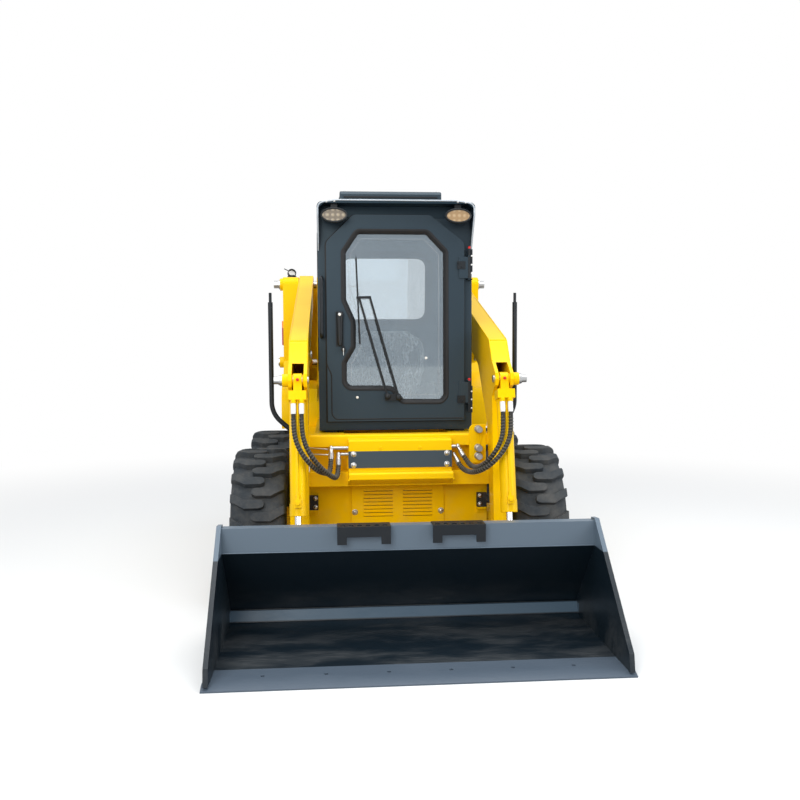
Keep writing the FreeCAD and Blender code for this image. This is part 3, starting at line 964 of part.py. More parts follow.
def build_bucket():
    outer = [on_back(370, "floor_wall"), on_back(0, "floor_wall"), ("strip_y + 10.4", "strip_z - 6"),
             ("heel_y + 7", "heel_z - floor_wall"), ("edge_y + edge_deep", "edge_wall - floor_wall")]
    shell = new_body("bucket_walls")
    pad(shell, "bucket_back", "YZ", "-bucket_half", "bucket_half",
        [("edge_y + edge_deep", "edge_wall"), ("heel_y", "heel_z"), ("strip_y", "strip_z"), ("lip_y", "lip_low_z"),
         ("lip_y", "lip_top_z"), ("lip_y + lip_deep", "lip_top_z"), ("lip_y + lip_deep", "lip_low_z - 15"), *outer])
    side = new_body("bucket_side")
    front = [("edge_y + 6", "edge_wall"), ("side_front_y", "side_front_z"), ("lip_y + 1", "tip_z")]
    pad(side, "side_plate", "YZ", "bucket_half - side_wall", "bucket_half",
        [*front, ("lip_y + lip_deep", "tip_z - 4"), ("lip_y + lip_deep", "lip_low_z - 15"), *outer,
         ("edge_y + edge_deep", "edge_wall")])
    strip = new_body("side_strip")
    pad(strip, "side_strip_plate", "YZ", "bucket_half - 1", "bucket_half + 12",
        [*front, ("lip_y + 70", "tip_z - 6"), ("side_front_y + 84", "side_front_z + 8"), ("edge_y + 96", "edge_wall")])
    hand = fuse("bucket_hand", side, strip)
    node("bucket_shell", fuse("bucket_welded", shell, hand, mirrored("bucket_hand_twin", hand)))
    edge = new_body("edge_body")
    holes = [(f"{place} * 270", "edge_y + 116", "9.5") for place in (-2.5, -1.5, -0.5, 0.5, 1.5, 2.5)]
    pad(edge, "edge_plate", "YZ", "-edge_half", "edge_half",
        [("edge_y", "0"), ("edge_y", "6"), ("edge_y + 38", "edge_wall"), ("edge_y + edge_deep", "edge_wall"),
         ("edge_y + edge_deep", "0")])
    pocket(edge, "edge_holes", "XY", "-5", "edge_wall + 5", circles=holes)
    node("cutting_edge", edge)
    step = new_body("step_body")
    face = "lip_y - 42"
    pad(step, "step_plate", "YZ", "-step_half", "step_half",
        [(face, "lip_top_z - step_drop"), (face, "lip_top_z + step_wall"), ("lip_y + 53", "lip_top_z + step_wall"),
         ("lip_y + 53", "lip_top_z"), (f"{face} + step_wall", "lip_top_z"), (f"{face} + step_wall", "lip_top_z - step_drop")])
    pocket(step, "step_gap", "XZ", f"{face} - 5", f"{face} + step_wall + 5",
           [("-step_half + 45", "lip_top_z - step_drop - 5"), ("step_half - 45", "lip_top_z - step_drop - 5"),
            ("step_half - 45", "lip_top_z - 45"), ("-step_half + 45", "lip_top_z - 45")])
    holes = [(f"{place} * 40", "lip_y - 12", "12") for place in (-2.5, -1.5, -0.5, 0.5, 1.5, 2.5)]
    pocket(step, "step_holes", "XY", "lip_top_z - 5", "lip_top_z + step_wall + 5", circles=holes)
    bind(step, Placement__Base__x="step_x")
    node("bucket_steps", both("step", step))


# Outline of the door's glass, x and z of each corner, chosen by hand.
DOOR_PANE = [(-223, 2073), (-303, 1955), (-303, 1680), (-250, 1560), (-250, 1420), (-303, 1330), (-303, 1210),
             (-270, 1177), (-30, 1175), (30, 1097), (260, 1095), (292, 1130), (292, 1957), (182, 2072)]


def build_door():
    front, rear = "-door_gap - door_wall", "-door_gap"
    frame = new_body("door_panel")
    pad(frame, "door_sheet", "XZ", front, rear,
        [("door_right_x", "door_low_z"), ("door_left_x", "door_low_z"), ("door_left_x", "door_chamfer_z"),
         ("door_high_x", "door_peak_z"), ("door_peak_x", "door_peak_z"), ("door_right_x", "door_chamfer_z")])
    pane = [(str(x), str(z)) for x, z in DOOR_PANE]
    round_corners(frame, "door_corners", "XZ", "door_round",
                  [("door_left_x", "door_chamfer_z"), ("door_high_x", "door_peak_z"), ("door_peak_x", "door_peak_z"),
                   ("door_right_x", "door_chamfer_z")])
    pocket(frame, "door_cutout", "XZ", f"{front} - 5", f"{rear} + 5", pane)
    round_corners(frame, "door_cutout_corners", "XZ", "pane_round", pane)
    solids, holes = knuckles("door_hinge", "door_hinge_x", front, DOOR_HINGES, ("door_left_x - 30", "door_hinge_x"),
                             (f"{front} - 7", f"{front} + 1"))
    node("door_frame", cut("door_drilled", fuse("door_welded", frame, *solids), *holes))
    middle = (sum(x for x, _ in DOOR_PANE) / len(DOOR_PANE), sum(z for _, z in DOOR_PANE) / len(DOOR_PANE))
    shrunk = [(f"{middle[0]} + ({x - middle[0]}) * 0.998", f"{middle[1]} + ({z - middle[1]}) * 0.998")
              for x, z in DOOR_PANE]
    glass = new_body("door_pane")
    pad(glass, "door_pane_sheet", "XZ", f"{front} + 18", f"{front} + 24", shrunk)
    round_corners(glass, "door_pane_corners", "XZ", "pane_round", shrunk)
    node("door_glass", glass)
    handle = fuse("handle", box("handle_grip", ("handle_x - 12", "handle_x + 12"), (f"{front} - 38", f"{front} - 24"),
                                ("handle_low_z", "handle_top_z")),
                  *[box(f"handle_foot_{index}", ("handle_x - 10", "handle_x + 10"), (f"{front} - 26", front),
                        (low, f"{low} + 22")) for index, low in enumerate(("handle_low_z + 8", "handle_top_z - 30"))])
    node("door_handle", handle)
    wiper = new_body("wiper_body")
    pad(wiper, "wiper_mount", "XZ", f"{front} - 30", front,
        [("-75", "1110"), ("22", "1118"), ("22", "1160"), ("-75", "1166")])
    for name, low, high, loop in (
            ("wiper_arm", f"{front} - 30", f"{front} - 20",
             [("-60", "1120"), ("-38", "1120"), ("-190", "1704"), ("-206", "1700")]),
            ("wiper_link", f"{front} - 28", f"{front} - 22",
             [("0", "1135"), ("12", "1140"), ("-176", "1690"), ("-192", "1690")]),
            ("wiper_head", f"{front} - 32", f"{front} - 6",
             [("-222", "1676"), ("-172", "1676"), ("-172", "1706"), ("-222", "1706")]),
            ("wiper_blade", f"{front} - 14", f"{front} - 2",
             [("-219", "1428"), ("-203", "1428"), ("-214", "1920"), ("-230", "1920")])):
        pad(wiper, name, "XZ", low, high, loop)
    node("wiper", wiper)


build_wheels()
build_frame()
build_front_panel()
build_rubber()
build_rear_bumper()
build_towers()
build_tower_pins()
build_housings()
build_cab()
build_roof()
build_roof_lamps()
build_seat()
build_engine()
build_exhaust_and_lamps()
build_posts()
build_grab_handle()
build_arms()
hoses = build_hoses(build_cross_member())
build_tilt_cylinders()
build_lift_cylinders()
build_coupler()
build_bucket()
build_door()
doc.recompute()

failed = [thing.Name for thing in doc.Objects if {"Invalid", "Error"} & set(thing.State)]
failed += [part.Label for part in nodes if part.Shape.isNull() or not part.Shape.isValid()]
if failed:
    raise RuntimeError(f"not recomputed or not valid: {failed}")
os.makedirs("parts", exist_ok=True)
for part in nodes:
    part.Shape.exportStep(f"parts/{part.Label}.step")
for name, fill, bend in hoses:
    print(f"{name}: volume {fill:.3f} of section times length, tightest bend {bend:.1f} diameters")
print(f"{len(nodes)} sub-parts written")
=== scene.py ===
"""Finishes, soft parts and small trim of the skid steer loader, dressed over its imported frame.

Lengths are metres. +Z is up, +X is the machine's left side, and the bucket points to -Y. A place written with mm()
is in millimetres, with its y measured from the front axle.
"""
import json
import logging
import math
from dataclasses import dataclass, replace
from enum import Enum
from functools import cached_property
from typing import Any, Callable, Sequence

import bmesh
import bpy
from mathutils import Matrix, Vector, noise

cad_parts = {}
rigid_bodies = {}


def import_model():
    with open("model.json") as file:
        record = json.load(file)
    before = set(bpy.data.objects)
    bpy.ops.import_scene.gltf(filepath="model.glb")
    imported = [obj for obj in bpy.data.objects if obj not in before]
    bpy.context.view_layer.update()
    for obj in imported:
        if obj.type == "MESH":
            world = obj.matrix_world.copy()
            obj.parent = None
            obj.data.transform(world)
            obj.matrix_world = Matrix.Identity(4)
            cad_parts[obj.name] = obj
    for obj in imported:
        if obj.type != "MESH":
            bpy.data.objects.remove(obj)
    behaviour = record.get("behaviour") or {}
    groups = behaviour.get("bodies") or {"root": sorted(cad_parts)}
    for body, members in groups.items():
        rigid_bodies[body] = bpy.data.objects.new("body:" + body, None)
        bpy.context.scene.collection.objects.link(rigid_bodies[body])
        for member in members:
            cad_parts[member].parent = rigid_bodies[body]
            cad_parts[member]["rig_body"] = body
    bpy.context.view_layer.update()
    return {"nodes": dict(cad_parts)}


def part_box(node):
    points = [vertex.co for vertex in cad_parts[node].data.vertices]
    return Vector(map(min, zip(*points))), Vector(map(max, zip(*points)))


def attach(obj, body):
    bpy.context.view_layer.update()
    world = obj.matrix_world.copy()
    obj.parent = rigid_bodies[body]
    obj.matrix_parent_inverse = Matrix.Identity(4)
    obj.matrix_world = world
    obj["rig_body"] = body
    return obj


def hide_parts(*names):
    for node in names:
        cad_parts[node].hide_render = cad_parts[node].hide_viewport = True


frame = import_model()
LOG = logging.getLogger("loader")
Point = Sequence[float]
Colour = tuple[float, float, float]
X, Y, Z = Vector((1, 0, 0)), Vector((0, 1, 0)), Vector((0, 0, 1))
SIDES = (("left", 1.0), ("right", -1.0))
# The front axle lies this far behind the middle of the frame's box.
FRONT_AXLE_Y = -0.252


def mm(x: float, y: float, z: float) -> Vector:
    """A point in millimetres, measured along Y from the front axle."""
    return Vector((x / 1000, y / 1000 + FRONT_AXLE_Y, z / 1000))


class Wire:
    """A shader socket or a number that takes part in arithmetic."""

    def __init__(self, recipe: "Recipe", end: Any) -> None:
        """Hold the socket or the number, and the recipe whose tree it belongs to."""
        self.recipe = recipe
        self.end = end

    def maths(self, operation: str, *others: Any) -> "Wire":
        """Add a Math node that reads this wire first.

        Args:
            operation: the node's operation.
            others: its other operands, wires or numbers.

        Returns:
            The node's value.
        """
        return self.recipe.node("Math", {"operation": operation}, self, *others)

    def __add__(self, other: Any) -> "Wire":
        """Sum."""
        return self.maths("ADD", other)

    __radd__ = __add__

    def __sub__(self, other: Any) -> "Wire":
        """Difference."""
        return self.maths("SUBTRACT", other)

    def __rsub__(self, other: Any) -> "Wire":
        """A number less this wire."""
        return Wire(self.recipe, other).maths("SUBTRACT", self)

    def __mul__(self, other: Any) -> "Wire":
        """Product."""
        return self.maths("MULTIPLY", other)

    __rmul__ = __mul__

    def __pow__(self, other: Any) -> "Wire":
        """Power."""
        return self.maths("POWER", other)

    def smooth(self, low: float, high: float) -> "Wire":
        """A soft step from 0 at low to 1 at high."""
        return self.recipe.node("MapRange", {"interpolation_type": "SMOOTHSTEP"}, self, low, high, 0.0, 1.0)


class Recipe:
    """The node tree of one finish, or of the world."""

    def __init__(self, holder: bpy.types.ID) -> None:
        """Start the tree of a new material or world afresh."""
        holder.use_nodes = True
        self.holder = holder
        self.tree = holder.node_tree
        self.tree.nodes.clear()

    @cached_property
    def place(self) -> Wire:
        """The object's own coordinates."""
        return self.node("TexCoord", out="Object")

    def node(self, kind: str, settings: dict[str, Any] | None = None, *values: Any, out: Any = 0,
             **named: Any) -> Wire:
        """Add a node.

        Args:
            kind: its type without the ShaderNode prefix.
            settings: attributes that are set first.
            values: what its sockets read, in order, as wires or plain values; None leaves one alone.
            out: name or number of the output to return.
            named: sockets by name, with underscores for spaces.

        Returns:
            That output.
        """
        made = self.tree.nodes.new("ShaderNode" + kind)
        for name, setting in (settings or {}).items():
            setattr(made, name, setting)
        pairs = [(made.inputs[index], value) for index, value in enumerate(values) if value is not None]
        pairs += [(made.inputs[name.replace("_", " ")], value) for name, value in named.items()]
        for socket, value in pairs:
            end = value.end if isinstance(value, Wire) else value
            if isinstance(end, bpy.types.NodeSocket):
                self.tree.links.new(end, socket)
            elif socket.type == "RGBA":
                socket.default_value = (*end[:3], 1.0)
            else:
                socket.default_value = end
        return Wire(self, made.outputs[out] if len(made.outputs) else None)

    def moved(self, scale: Point, turn: Point = (0.0, 0.0, 0.0)) -> Wire:
        """The object's own coordinates, turned and scaled."""
        return self.node("Mapping", None, self.place, (0.0, 0.0, 0.0), tuple(turn), tuple(scale))

    def grain(self, scale: float, detail: float = 3.0, rough: float = 0.5, place: Wire | None = None) -> Wire:
        """Noise of so many cells a metre, from 0 to 1."""
        return self.node("TexNoise", None, place or self.place, Scale=scale, Detail=detail, Roughness=rough)

    def blend(self, factor: Any, first: Any, second: Any, mode: str = "MIX") -> Wire:
        """Mix two colours by a factor, each a wire or three numbers."""
        values = [factor, None, None, None, None, None, first, second]
        return self.node("Mix", {"data_type": "RGBA", "blend_type": mode}, *values, out=2)

    def along(self, axis: str) -> Wire:
        """The object's coordinate along one axis."""
        return self.node("SeparateXYZ", None, self.place, out=axis)

    def bump(self, height: Wire, depth: float) -> Wire:
        """A normal from a height map whose full range is depth metres."""
        return self.node("Bump", None, 1.0, depth, Height=height)

    def close(self, surface: Wire, output: str = "OutputMaterial") -> Any:
        """Join the surface to the output and return the material or world."""
        self.node(output, None, surface)
        return self.holder


@dataclass(frozen=True)
class Finish:
    """A surface: its name, the record's slot that it takes (not used), its base colour and roughness."""

    name: str
    slot: str
    colour: Colour
    rough: float = 0.4

    def surface(self, r: Recipe) -> Wire:
        """The shader that a plain smooth piece has."""
        return r.node("BsdfPrincipled", None, Base_Color=self.colour, Roughness=self.rough)

    @property
    def material(self) -> bpy.types.Material:
        """The finish's material, made once."""
        found = bpy.data.materials.get(self.name)
        if found:
            return found
        recipe = Recipe(bpy.data.materials.new(self.name))
        return recipe.close(self.surface(recipe))


@dataclass(frozen=True)
class Paint(Finish):
    """Sprayed enamel: fine orange peel, faint drift of hue, dust that settles low down."""

    coat: float = 0.12
    dust: float = 0.2
    peel: float = 0.00012
    sheen: Colour = (1.0, 1.0, 1.0)

    def surface(self, r: Recipe) -> Wire:
        """Colour drifts over half a metre; dust thins out above the wheels."""
        drift = r.grain(1.7, 2.0).smooth(0.35, 0.7)
        deep = tuple(part * 0.9 for part in self.colour)
        low = 1.0 - r.along("Z").smooth(0.1, 0.85)
        settled = low * r.grain(7.0, 6.0, 0.62).smooth(0.42, 0.72) * self.dust
        colour = r.blend(settled, r.blend(drift, self.colour, deep), DUST)
        rough = r.grain(38.0, 4.0) * 0.08 + settled * 0.5 + (self.rough - 0.04)
        return r.node("BsdfPrincipled", None, Base_Color=colour, Roughness=rough, Coat_Weight=self.coat,
                      Coat_Roughness=0.12, Specular_IOR_Level=0.35, Specular_Tint=self.sheen,
                      Normal=r.bump(r.grain(260.0, 1.0), self.peel))


@dataclass(frozen=True)
class Bowl(Finish):
    """Bucket paint with painted light and shade: a lighter slate grey painted on its lip and bottom strip where they
    face the light, and painted shade near black in its bowl, which is also rubbed with grit.
    """

    # One paint in three colours: near black as painted shade in the bowl, lighter slate as painted light on the lip
    # and the bottom strip.
    bowl: Colour = (0.0035, 0.009, 0.0145)
    lip: Colour = (0.096, 0.132, 0.170)
    strip: Colour = (0.055, 0.098, 0.142)
    plain: float = 0.0

    def surface(self, r: Recipe) -> Wire:
        """Streaks lie across the bucket and fade out up its back."""
        height, depth = r.along("Z"), r.along("Y")
        low = 1.0 - height.smooth(0.05, 0.3)
        swirl = r.grain(2.6, 6.0, 0.65, r.moved((0.8, 2.4, 1.0), (0.0, 0.0, 0.35)))
        rub = r.grain(34.0, 5.0, 0.6, r.moved((0.35, 3.0, 1.0), (0.0, 0.0, 0.2))).smooth(0.42, 0.75)
        grit = low * swirl.smooth(0.4, 0.64) * (rub * 0.6 + 0.4)
        # Masks of the lip and the bottom strip, where a lighter colour is painted as light; the rest of the bowl takes
        # the painted shade.
        lit_lip = height.smooth(BUCKET_LIP_Z - 0.004, BUCKET_LIP_Z)
        lit_strip = height.smooth(0.038, 0.044) * (1.0 - height.smooth(0.088, 0.092)) * depth.smooth(-0.93, -0.92)
        inner = r.blend(lit_strip, r.blend(grit * 0.5, self.bowl, GRIT), self.strip)
        colour = r.blend(lit_lip, inner, self.lip)
        rough = r.grain(12.0, 4.0) * 0.12 + grit * 0.3 + self.rough
        return r.node("BsdfPrincipled", None, Base_Color=r.blend(self.plain, colour, self.colour), Roughness=rough,
                      Coat_Weight=0.1, Coat_Roughness=0.22, Specular_IOR_Level=0.4,
                      Normal=r.bump(r.grain(170.0, 2.0), 0.0002))


@dataclass(frozen=True)
class Metal(Finish):
    """Bare or plated metal with fine machining marks."""

    metallic: float = 1.0
    marks: float = 0.06

    def surface(self, r: Recipe) -> Wire:
        """Roughness varies with fine grain."""
        rough = r.grain(90.0, 3.0) * self.marks * 2.0 + (self.rough - self.marks)
        tone = r.blend(r.grain(14.0, 4.0).smooth(0.4, 0.7), self.colour, tuple(part * 0.8 for part in self.colour))
        return r.node("BsdfPrincipled", None, Base_Color=tone, Roughness=rough, Metallic=self.metallic,
                      Normal=r.bump(r.grain(700.0, 1.0), 0.00004))


@dataclass(frozen=True)
class Rubber(Finish):
    """Rubber or soft plastic with a bloom of dust."""

    dust: float = 0.3
    texture: float = 0.0002

    def surface(self, r: Recipe) -> Wire:
        """Dust gathers in patches and thins out above the wheels."""
        patch = r.grain(9.0, 6.0, 0.6).smooth(0.35, 0.75)
        fine = r.grain(60.0, 4.0, 0.6).smooth(0.3, 0.8)
        low = 1.0 - r.along("Z").smooth(0.4, 1.5)
        settled = (patch * 0.7 + fine * 0.3) * (low * 0.75 + 0.25) * self.dust
        colour = r.blend(settled, self.colour, DUST)
        return r.node("BsdfPrincipled", None, Base_Color=colour, Roughness=settled * 0.4 + self.rough,
                      Specular_IOR_Level=0.3, Normal=r.bump(r.grain(330.0, 3.0), self.texture))


@dataclass(frozen=True)
class Glass(Finish):
    """Thin tinted pane that lets the light straight through and mirrors more at a slant."""

    haze: float = 0.02
    mirror: float = 0.2

    def surface(self, r: Recipe) -> Wire:
        """Clear tint under a mirror whose share follows the angle, with faint smears."""
        clear = r.node("BsdfTransparent", None, self.colour)
        gloss = r.node("BsdfAnisotropic", None, Color=(0.80, 0.92, 1.0), Roughness=0.03)
        veil = r.node("BsdfDiffuse", None, (0.75, 0.78, 0.8))
        share = r.node("Fresnel", None, 1.5) * 0.85 + self.mirror
        smear = r.grain(3.0, 5.0, 0.6).smooth(0.35, 0.8) * self.haze
        return r.node("MixShader", None, smear, r.node("MixShader", None, share, clear, gloss), veil)


@dataclass(frozen=True)
class Lens(Finish):
    """Moulded lamp lens with round cells behind a clear face."""

    cells: float = 95.0
    glow: Colour = (1.0, 0.8, 0.4)
    upper: Colour = (0.0, 0.0, 0.0)
    upper_z: float = 9.0
    amber: float = 0.0

    def surface(self, r: Recipe) -> Wire:
        """Each cell is bright in its middle."""
        spot = r.node("TexVoronoi", None, r.place, Scale=self.cells, Randomness=0.0)
        core = 1.0 - spot.smooth(0.2, 0.62)
        warm = r.along("X").smooth(-0.1, 0.1) * self.amber
        colour = r.blend(warm, r.blend(core, self.colour, self.glow), AMBER)
        colour = r.blend(r.along("Z").smooth(self.upper_z, self.upper_z + 0.002), colour, self.upper)
        return r.node("BsdfPrincipled", None, Base_Color=colour, Roughness=self.rough, Coat_Weight=1.0,
                      Coat_Roughness=0.03, Metallic=core * 0.25, Normal=r.bump(core, 0.0012))


@dataclass(frozen=True)
class Fabric(Finish):
    """Woven or grained seat cover."""

    def surface(self, r: Recipe) -> Wire:
        """A fine weave along the seat's own axes."""
        across = r.node("TexWave", {"bands_direction": "X"}, r.place, Scale=130.0, Distortion=0.3)
        length = r.node("TexWave", {"bands_direction": "Z"}, r.place, Scale=130.0, Distortion=0.3)
        weave = across.maths("MULTIPLY", length)
        colour = r.blend(weave, self.colour, tuple(part * 1.7 for part in self.colour))
        return r.node("BsdfPrincipled", None, Base_Color=colour, Roughness=self.rough, Sheen_Weight=0.25,
                      Normal=r.bump(weave, 0.0005))


@dataclass(frozen=True)
class Film(Finish):
    """Clear packing film: mostly see-through, with bright creases."""

    def surface(self, r: Recipe) -> Wire:
        """Creases show as streaks of gloss and milky folds."""
        clear = r.node("BsdfTransparent", None, (0.93, 0.94, 0.95))
        crease = r.grain(13.0, 6.0, 0.65, r.moved((1.0, 1.0, 0.4), (0.3, 0.2, 0.0)))
        streak = 1.0 - (crease - 0.5).maths("ABSOLUTE").smooth(0.0, 0.045)
        fold = r.node("LayerWeight", None, 0.5, out="Facing") ** 2.0
        plastic = r.node("BsdfPrincipled", None, Base_Color=self.colour, Roughness=self.rough, Coat_Weight=0.6,
                         Normal=r.bump(crease, 0.02))
        share = (streak * 0.55 + crease.smooth(0.45, 0.7) * 0.25 + fold * 0.5 + 0.1).maths("MINIMUM", 0.95)
        return r.node("MixShader", None, share, clear, plastic)


BUCKET_LIP_Z = 0.455
DUST: Colour = (0.30, 0.27, 0.23)
GRIT: Colour = (0.088, 0.092, 0.093)
AMBER: Colour = (0.85, 0.42, 0.06)
YELLOW = Paint("loader_yellow", "paint", (0.88, 0.535, 0.001), 0.34, coat=0.06, sheen=(1.0, 0.7, 0.12))
RIM_YELLOW = replace(YELLOW, name="rim_yellow", dust=0.6)
SLATE = Paint("slate_paint", "dark_paint", (0.019, 0.030, 0.041), 0.36, dust=0.04, sheen=(0.7, 0.9, 1.0))
# The cab roof is painted far darker than the slate: painted shade for the hollow under its visor, spread over the
# whole roof.
SHADED_ROOF = replace(SLATE, name="roof_paint", colour=(0.004, 0.013, 0.022), coat=0.05)
COVER = Paint("cover_slate", "dark_paint", (0.042, 0.056, 0.071), 0.34, dust=0.04, sheen=(0.7, 0.9, 1.0))
BUCKET = Bowl("bucket_blue", "bucket_paint", (0.02, 0.03, 0.04), 0.34)
EDGE = Bowl("edge_blue", "bucket_paint", (0.066, 0.090, 0.120), 0.38, plain=1.0)
BLACK = Paint("black_powder", "black_metal", (0.0045, 0.0075, 0.011), 0.46, coat=0.0, dust=0.03)
ZINC = Metal("zinc_plate", "zinc", (0.58, 0.58, 0.57), 0.34)
CHROME = Metal("rod_chrome", "rod_chrome", (0.86, 0.87, 0.88), 0.14, marks=0.03)
STEEL = Metal("bright_steel", "zinc", (0.54, 0.54, 0.55), 0.3)
CAST_BRIGHT = Metal("dull_steel", "zinc", (0.36, 0.35, 0.33), 0.42)
CAST = Metal("cast_iron", "cast", (0.08, 0.08, 0.085), 0.6, metallic=0.4)
TYRE = Rubber("tyre_rubber", "tyre", (0.023, 0.030, 0.037), 0.72, dust=0.22, texture=0.0004)
SEAL = Rubber("seal_rubber", "rubber", (0.010, 0.010, 0.011), 0.55, dust=0.05)
MOUNT = Rubber("mount_rubber", "rubber", (0.016, 0.016, 0.016), 0.6, dust=0.15)
HOSE = Rubber("hose_wrap", "hose_rubber", (0.010, 0.010, 0.009), 0.5, dust=0.1)
GUARD = Rubber("spiral_guard", "hose_rubber", (0.085, 0.078, 0.062), 0.45, dust=0.2)
PLASTIC = Rubber("black_plastic", "plastic", (0.007, 0.009, 0.011), 0.45, dust=0.0)
RED = Rubber("red_cap", "plastic", (0.55, 0.015, 0.012), 0.38, dust=0.03)
PALE = Paint("pale_trim", "dark_paint", (0.42, 0.46, 0.50), 0.35, dust=0.02)
WHITE = Rubber("white_sleeve", "plastic", (0.72, 0.72, 0.70), 0.45, dust=0.05)
PANE = Glass("cab_pane", "glass", (0.94, 0.955, 0.96), 0.03)
LAMP = Lens("roof_lamp_lens", "lamp", (0.15, 0.12, 0.085), 0.2, 34.0, (0.60, 0.50, 0.34), amber=0.2)
TAIL = Lens("tail_lamp_lens", "tail_lens", (0.30, 0.008, 0.006), 0.2, 70.0, (0.75, 0.03, 0.02), (0.9, 0.28, 0.01),
            1.565)
SEAT = Fabric("seat_cover", "seat_fabric", (0.016, 0.017, 0.019), 0.7)
FILM = Film("packing_film", "plastic", (0.97, 0.99, 1.0), 0.2)


class Head(Enum):
    """Kinds of fastener heads, as (height, corners) where height is a share of the width."""

    HEX = (0.42, 6)
    DOME = (0.34, 20)
    SOCKET = (0.62, 20)


class Shape:
    """A mesh under construction in the row frame."""

    def __init__(self) -> None:
        """Start with nothing."""
        self.work = bmesh.new()

    def skin(self, rings: Sequence[Sequence[Vector]], closed: bool = False, caps: bool = True) -> "Shape":
        """Join rings of equal counts of points with faces.

        Args:
            rings: the rings in order.
            closed: whether the last ring joins the first.
            caps: whether an open run is closed at its ends.

        Returns:
            This shape, so that calls can follow one another.
        """
        made = [[self.work.verts.new(spot) for spot in ring] for ring in rings]
        pairs = list(zip(made, made[1:])) + ([(made[-1], made[0])] if closed else [])
        for first, second in pairs:
            for index in range(len(first)):
                after = (index + 1) % len(first)
                self.work.faces.new((first[index], first[after], second[after], second[index]))
        if caps and not closed:
            self.work.faces.new(list(reversed(made[0])))
            self.work.faces.new(made[-1])
        return self

    def block(self, low: Point, high: Point) -> "Shape":
        """An upright box between two corners."""
        rings = [[Vector((x, y, z)) for x, y in ((low[0], low[1]), (high[0], low[1]), (high[0], high[1]),
                                                 (low[0], high[1]))] for z in (low[2], high[2])]
        return self.skin(rings)

    def prism(self, outline: Sequence[Vector], reach: Vector) -> "Shape":
        """A flat outline drawn out along a vector."""
        face = self.work.faces.new([self.work.verts.new(spot) for spot in outline])
        drawn = bmesh.ops.extrude_face_region(self.work, geom=[face])["geom"]
        moved = [part for part in drawn if isinstance(part, bmesh.types.BMVert)]
        bmesh.ops.translate(self.work, verts=moved, vec=reach)
        return self

    def lathe(self, profile: Sequence[tuple[float, float]], centre: Vector, axis: Vector, steps: int = 32,
              closed: bool = False) -> "Shape":
        """Spin a profile round an axis through the centre.

        Args:
            profile: (along the axis, radius) pairs.
            centre: where along is 0.
            axis: its direction.
            steps: corners of the round.
            closed: whether the profile is a loop, else its ends are filled.

        Returns:
            This shape.
        """
        aim = axis.normalized()
        away = aim.to_track_quat("Z", "Y") @ X
        corners = [self.work.verts.new(centre + aim * along + away * radius) for along, radius in profile]
        ends = corners[1:] + corners[:1] if closed else corners[1:]
        line = [self.work.edges.new(pair) for pair in zip(corners, ends)]
        bmesh.ops.spin(self.work, geom=corners + line, cent=centre, axis=aim, angle=math.tau, steps=steps,
                       use_merge=True)
        if not closed:
            bmesh.ops.holes_fill(self.work, edges=[edge for edge in self.work.edges if edge.is_boundary], sides=0)
        return self

    def bar(self, start: Vector, end: Vector, radius: float, steps: int = 16) -> "Shape":
        """A round bar between two points."""
        return self.lathe([(0, radius), ((end - start).length, radius)], start, end - start, steps)

    def tube(self, path: Sequence[Vector], radius: float | Callable[[int], float], steps: int = 10) -> "Shape":
        """A round tube along a path, whose radius may change from point to point."""
        tangents = [(path[min(i + 1, len(path) - 1)] - path[max(i - 1, 0)]).normalized() for i in range(len(path))]
        side = tangents[0].orthogonal().normalized()
        rings = []
        for index, (spot, tangent) in enumerate(zip(path, tangents)):
            side = (side - tangent * side.dot(tangent)).normalized()
            other = tangent.cross(side)
            wide = radius(index) if callable(radius) else radius
            rings.append([spot + (side * math.cos(a) + other * math.sin(a)) * wide
                          for a in (math.tau * k / steps for k in range(steps))])
        return self.skin(rings)

    def bead(self, start: Vector, end: Vector, radius: float = 0.005) -> "Shape":
        """A weld bead between two points, rippled every few millimetres."""
        count = max(4, int((end - start).length / 0.005))
        path = [start.lerp(end, i / count) for i in range(count + 1)]
        return self.tube(path, lambda i: radius * (0.86 + 0.2 * (i % 2)), 6)

    def moulding(self, loop: Sequence[Vector], out: Vector, profile: Sequence[tuple[float, float]]) -> "Shape":
        """A section carried round a flat closed loop.

        Args:
            loop: points of the loop, anticlockwise seen against out.
            out: the loop's normal.
            profile: closed section of (outward, height) pairs.

        Returns:
            This shape.
        """
        count = len(loop)
        rings = []
        for index, spot in enumerate(loop):
            before = (spot - loop[index - 1]).normalized().cross(out)
            after = (loop[(index + 1) % count] - spot).normalized().cross(out)
            mitre = (before + after).normalized()
            mitre /= max(mitre.dot(after), 0.4)
            rings.append([spot + mitre * outward + out * height for outward, height in profile])
        return self.skin(rings, closed=True)

    def bolt(self, centre: Vector, axis: Vector, across: float, head: Head = Head.HEX) -> "Shape":
        """A fastener on its washer, standing on a face whose normal is the axis."""
        tall, corners = head.value
        tall *= across
        self.lathe([(-0.001, across * 0.66), (0.0018, across * 0.66), (0.0022, across * 0.62)], centre, axis, 20)
        if head is Head.DOME:
            rise = [(tall * math.sin(a), across * 0.5 * math.cos(a)) for a in (0.0, 0.35, 0.7, 1.05, 1.35)]
            return self.lathe([(0.001, across * 0.5)] + [(0.002 + x, r) for x, r in rise], centre, axis, corners)
        crown = [(0.001, across * 0.53), (tall * 0.82, across * 0.53), (tall, across * 0.46)]
        if head is Head.SOCKET:
            crown += [(tall, across * 0.28), (tall * 0.5, across * 0.27)]
        return self.lathe(crown, centre, axis, corners)

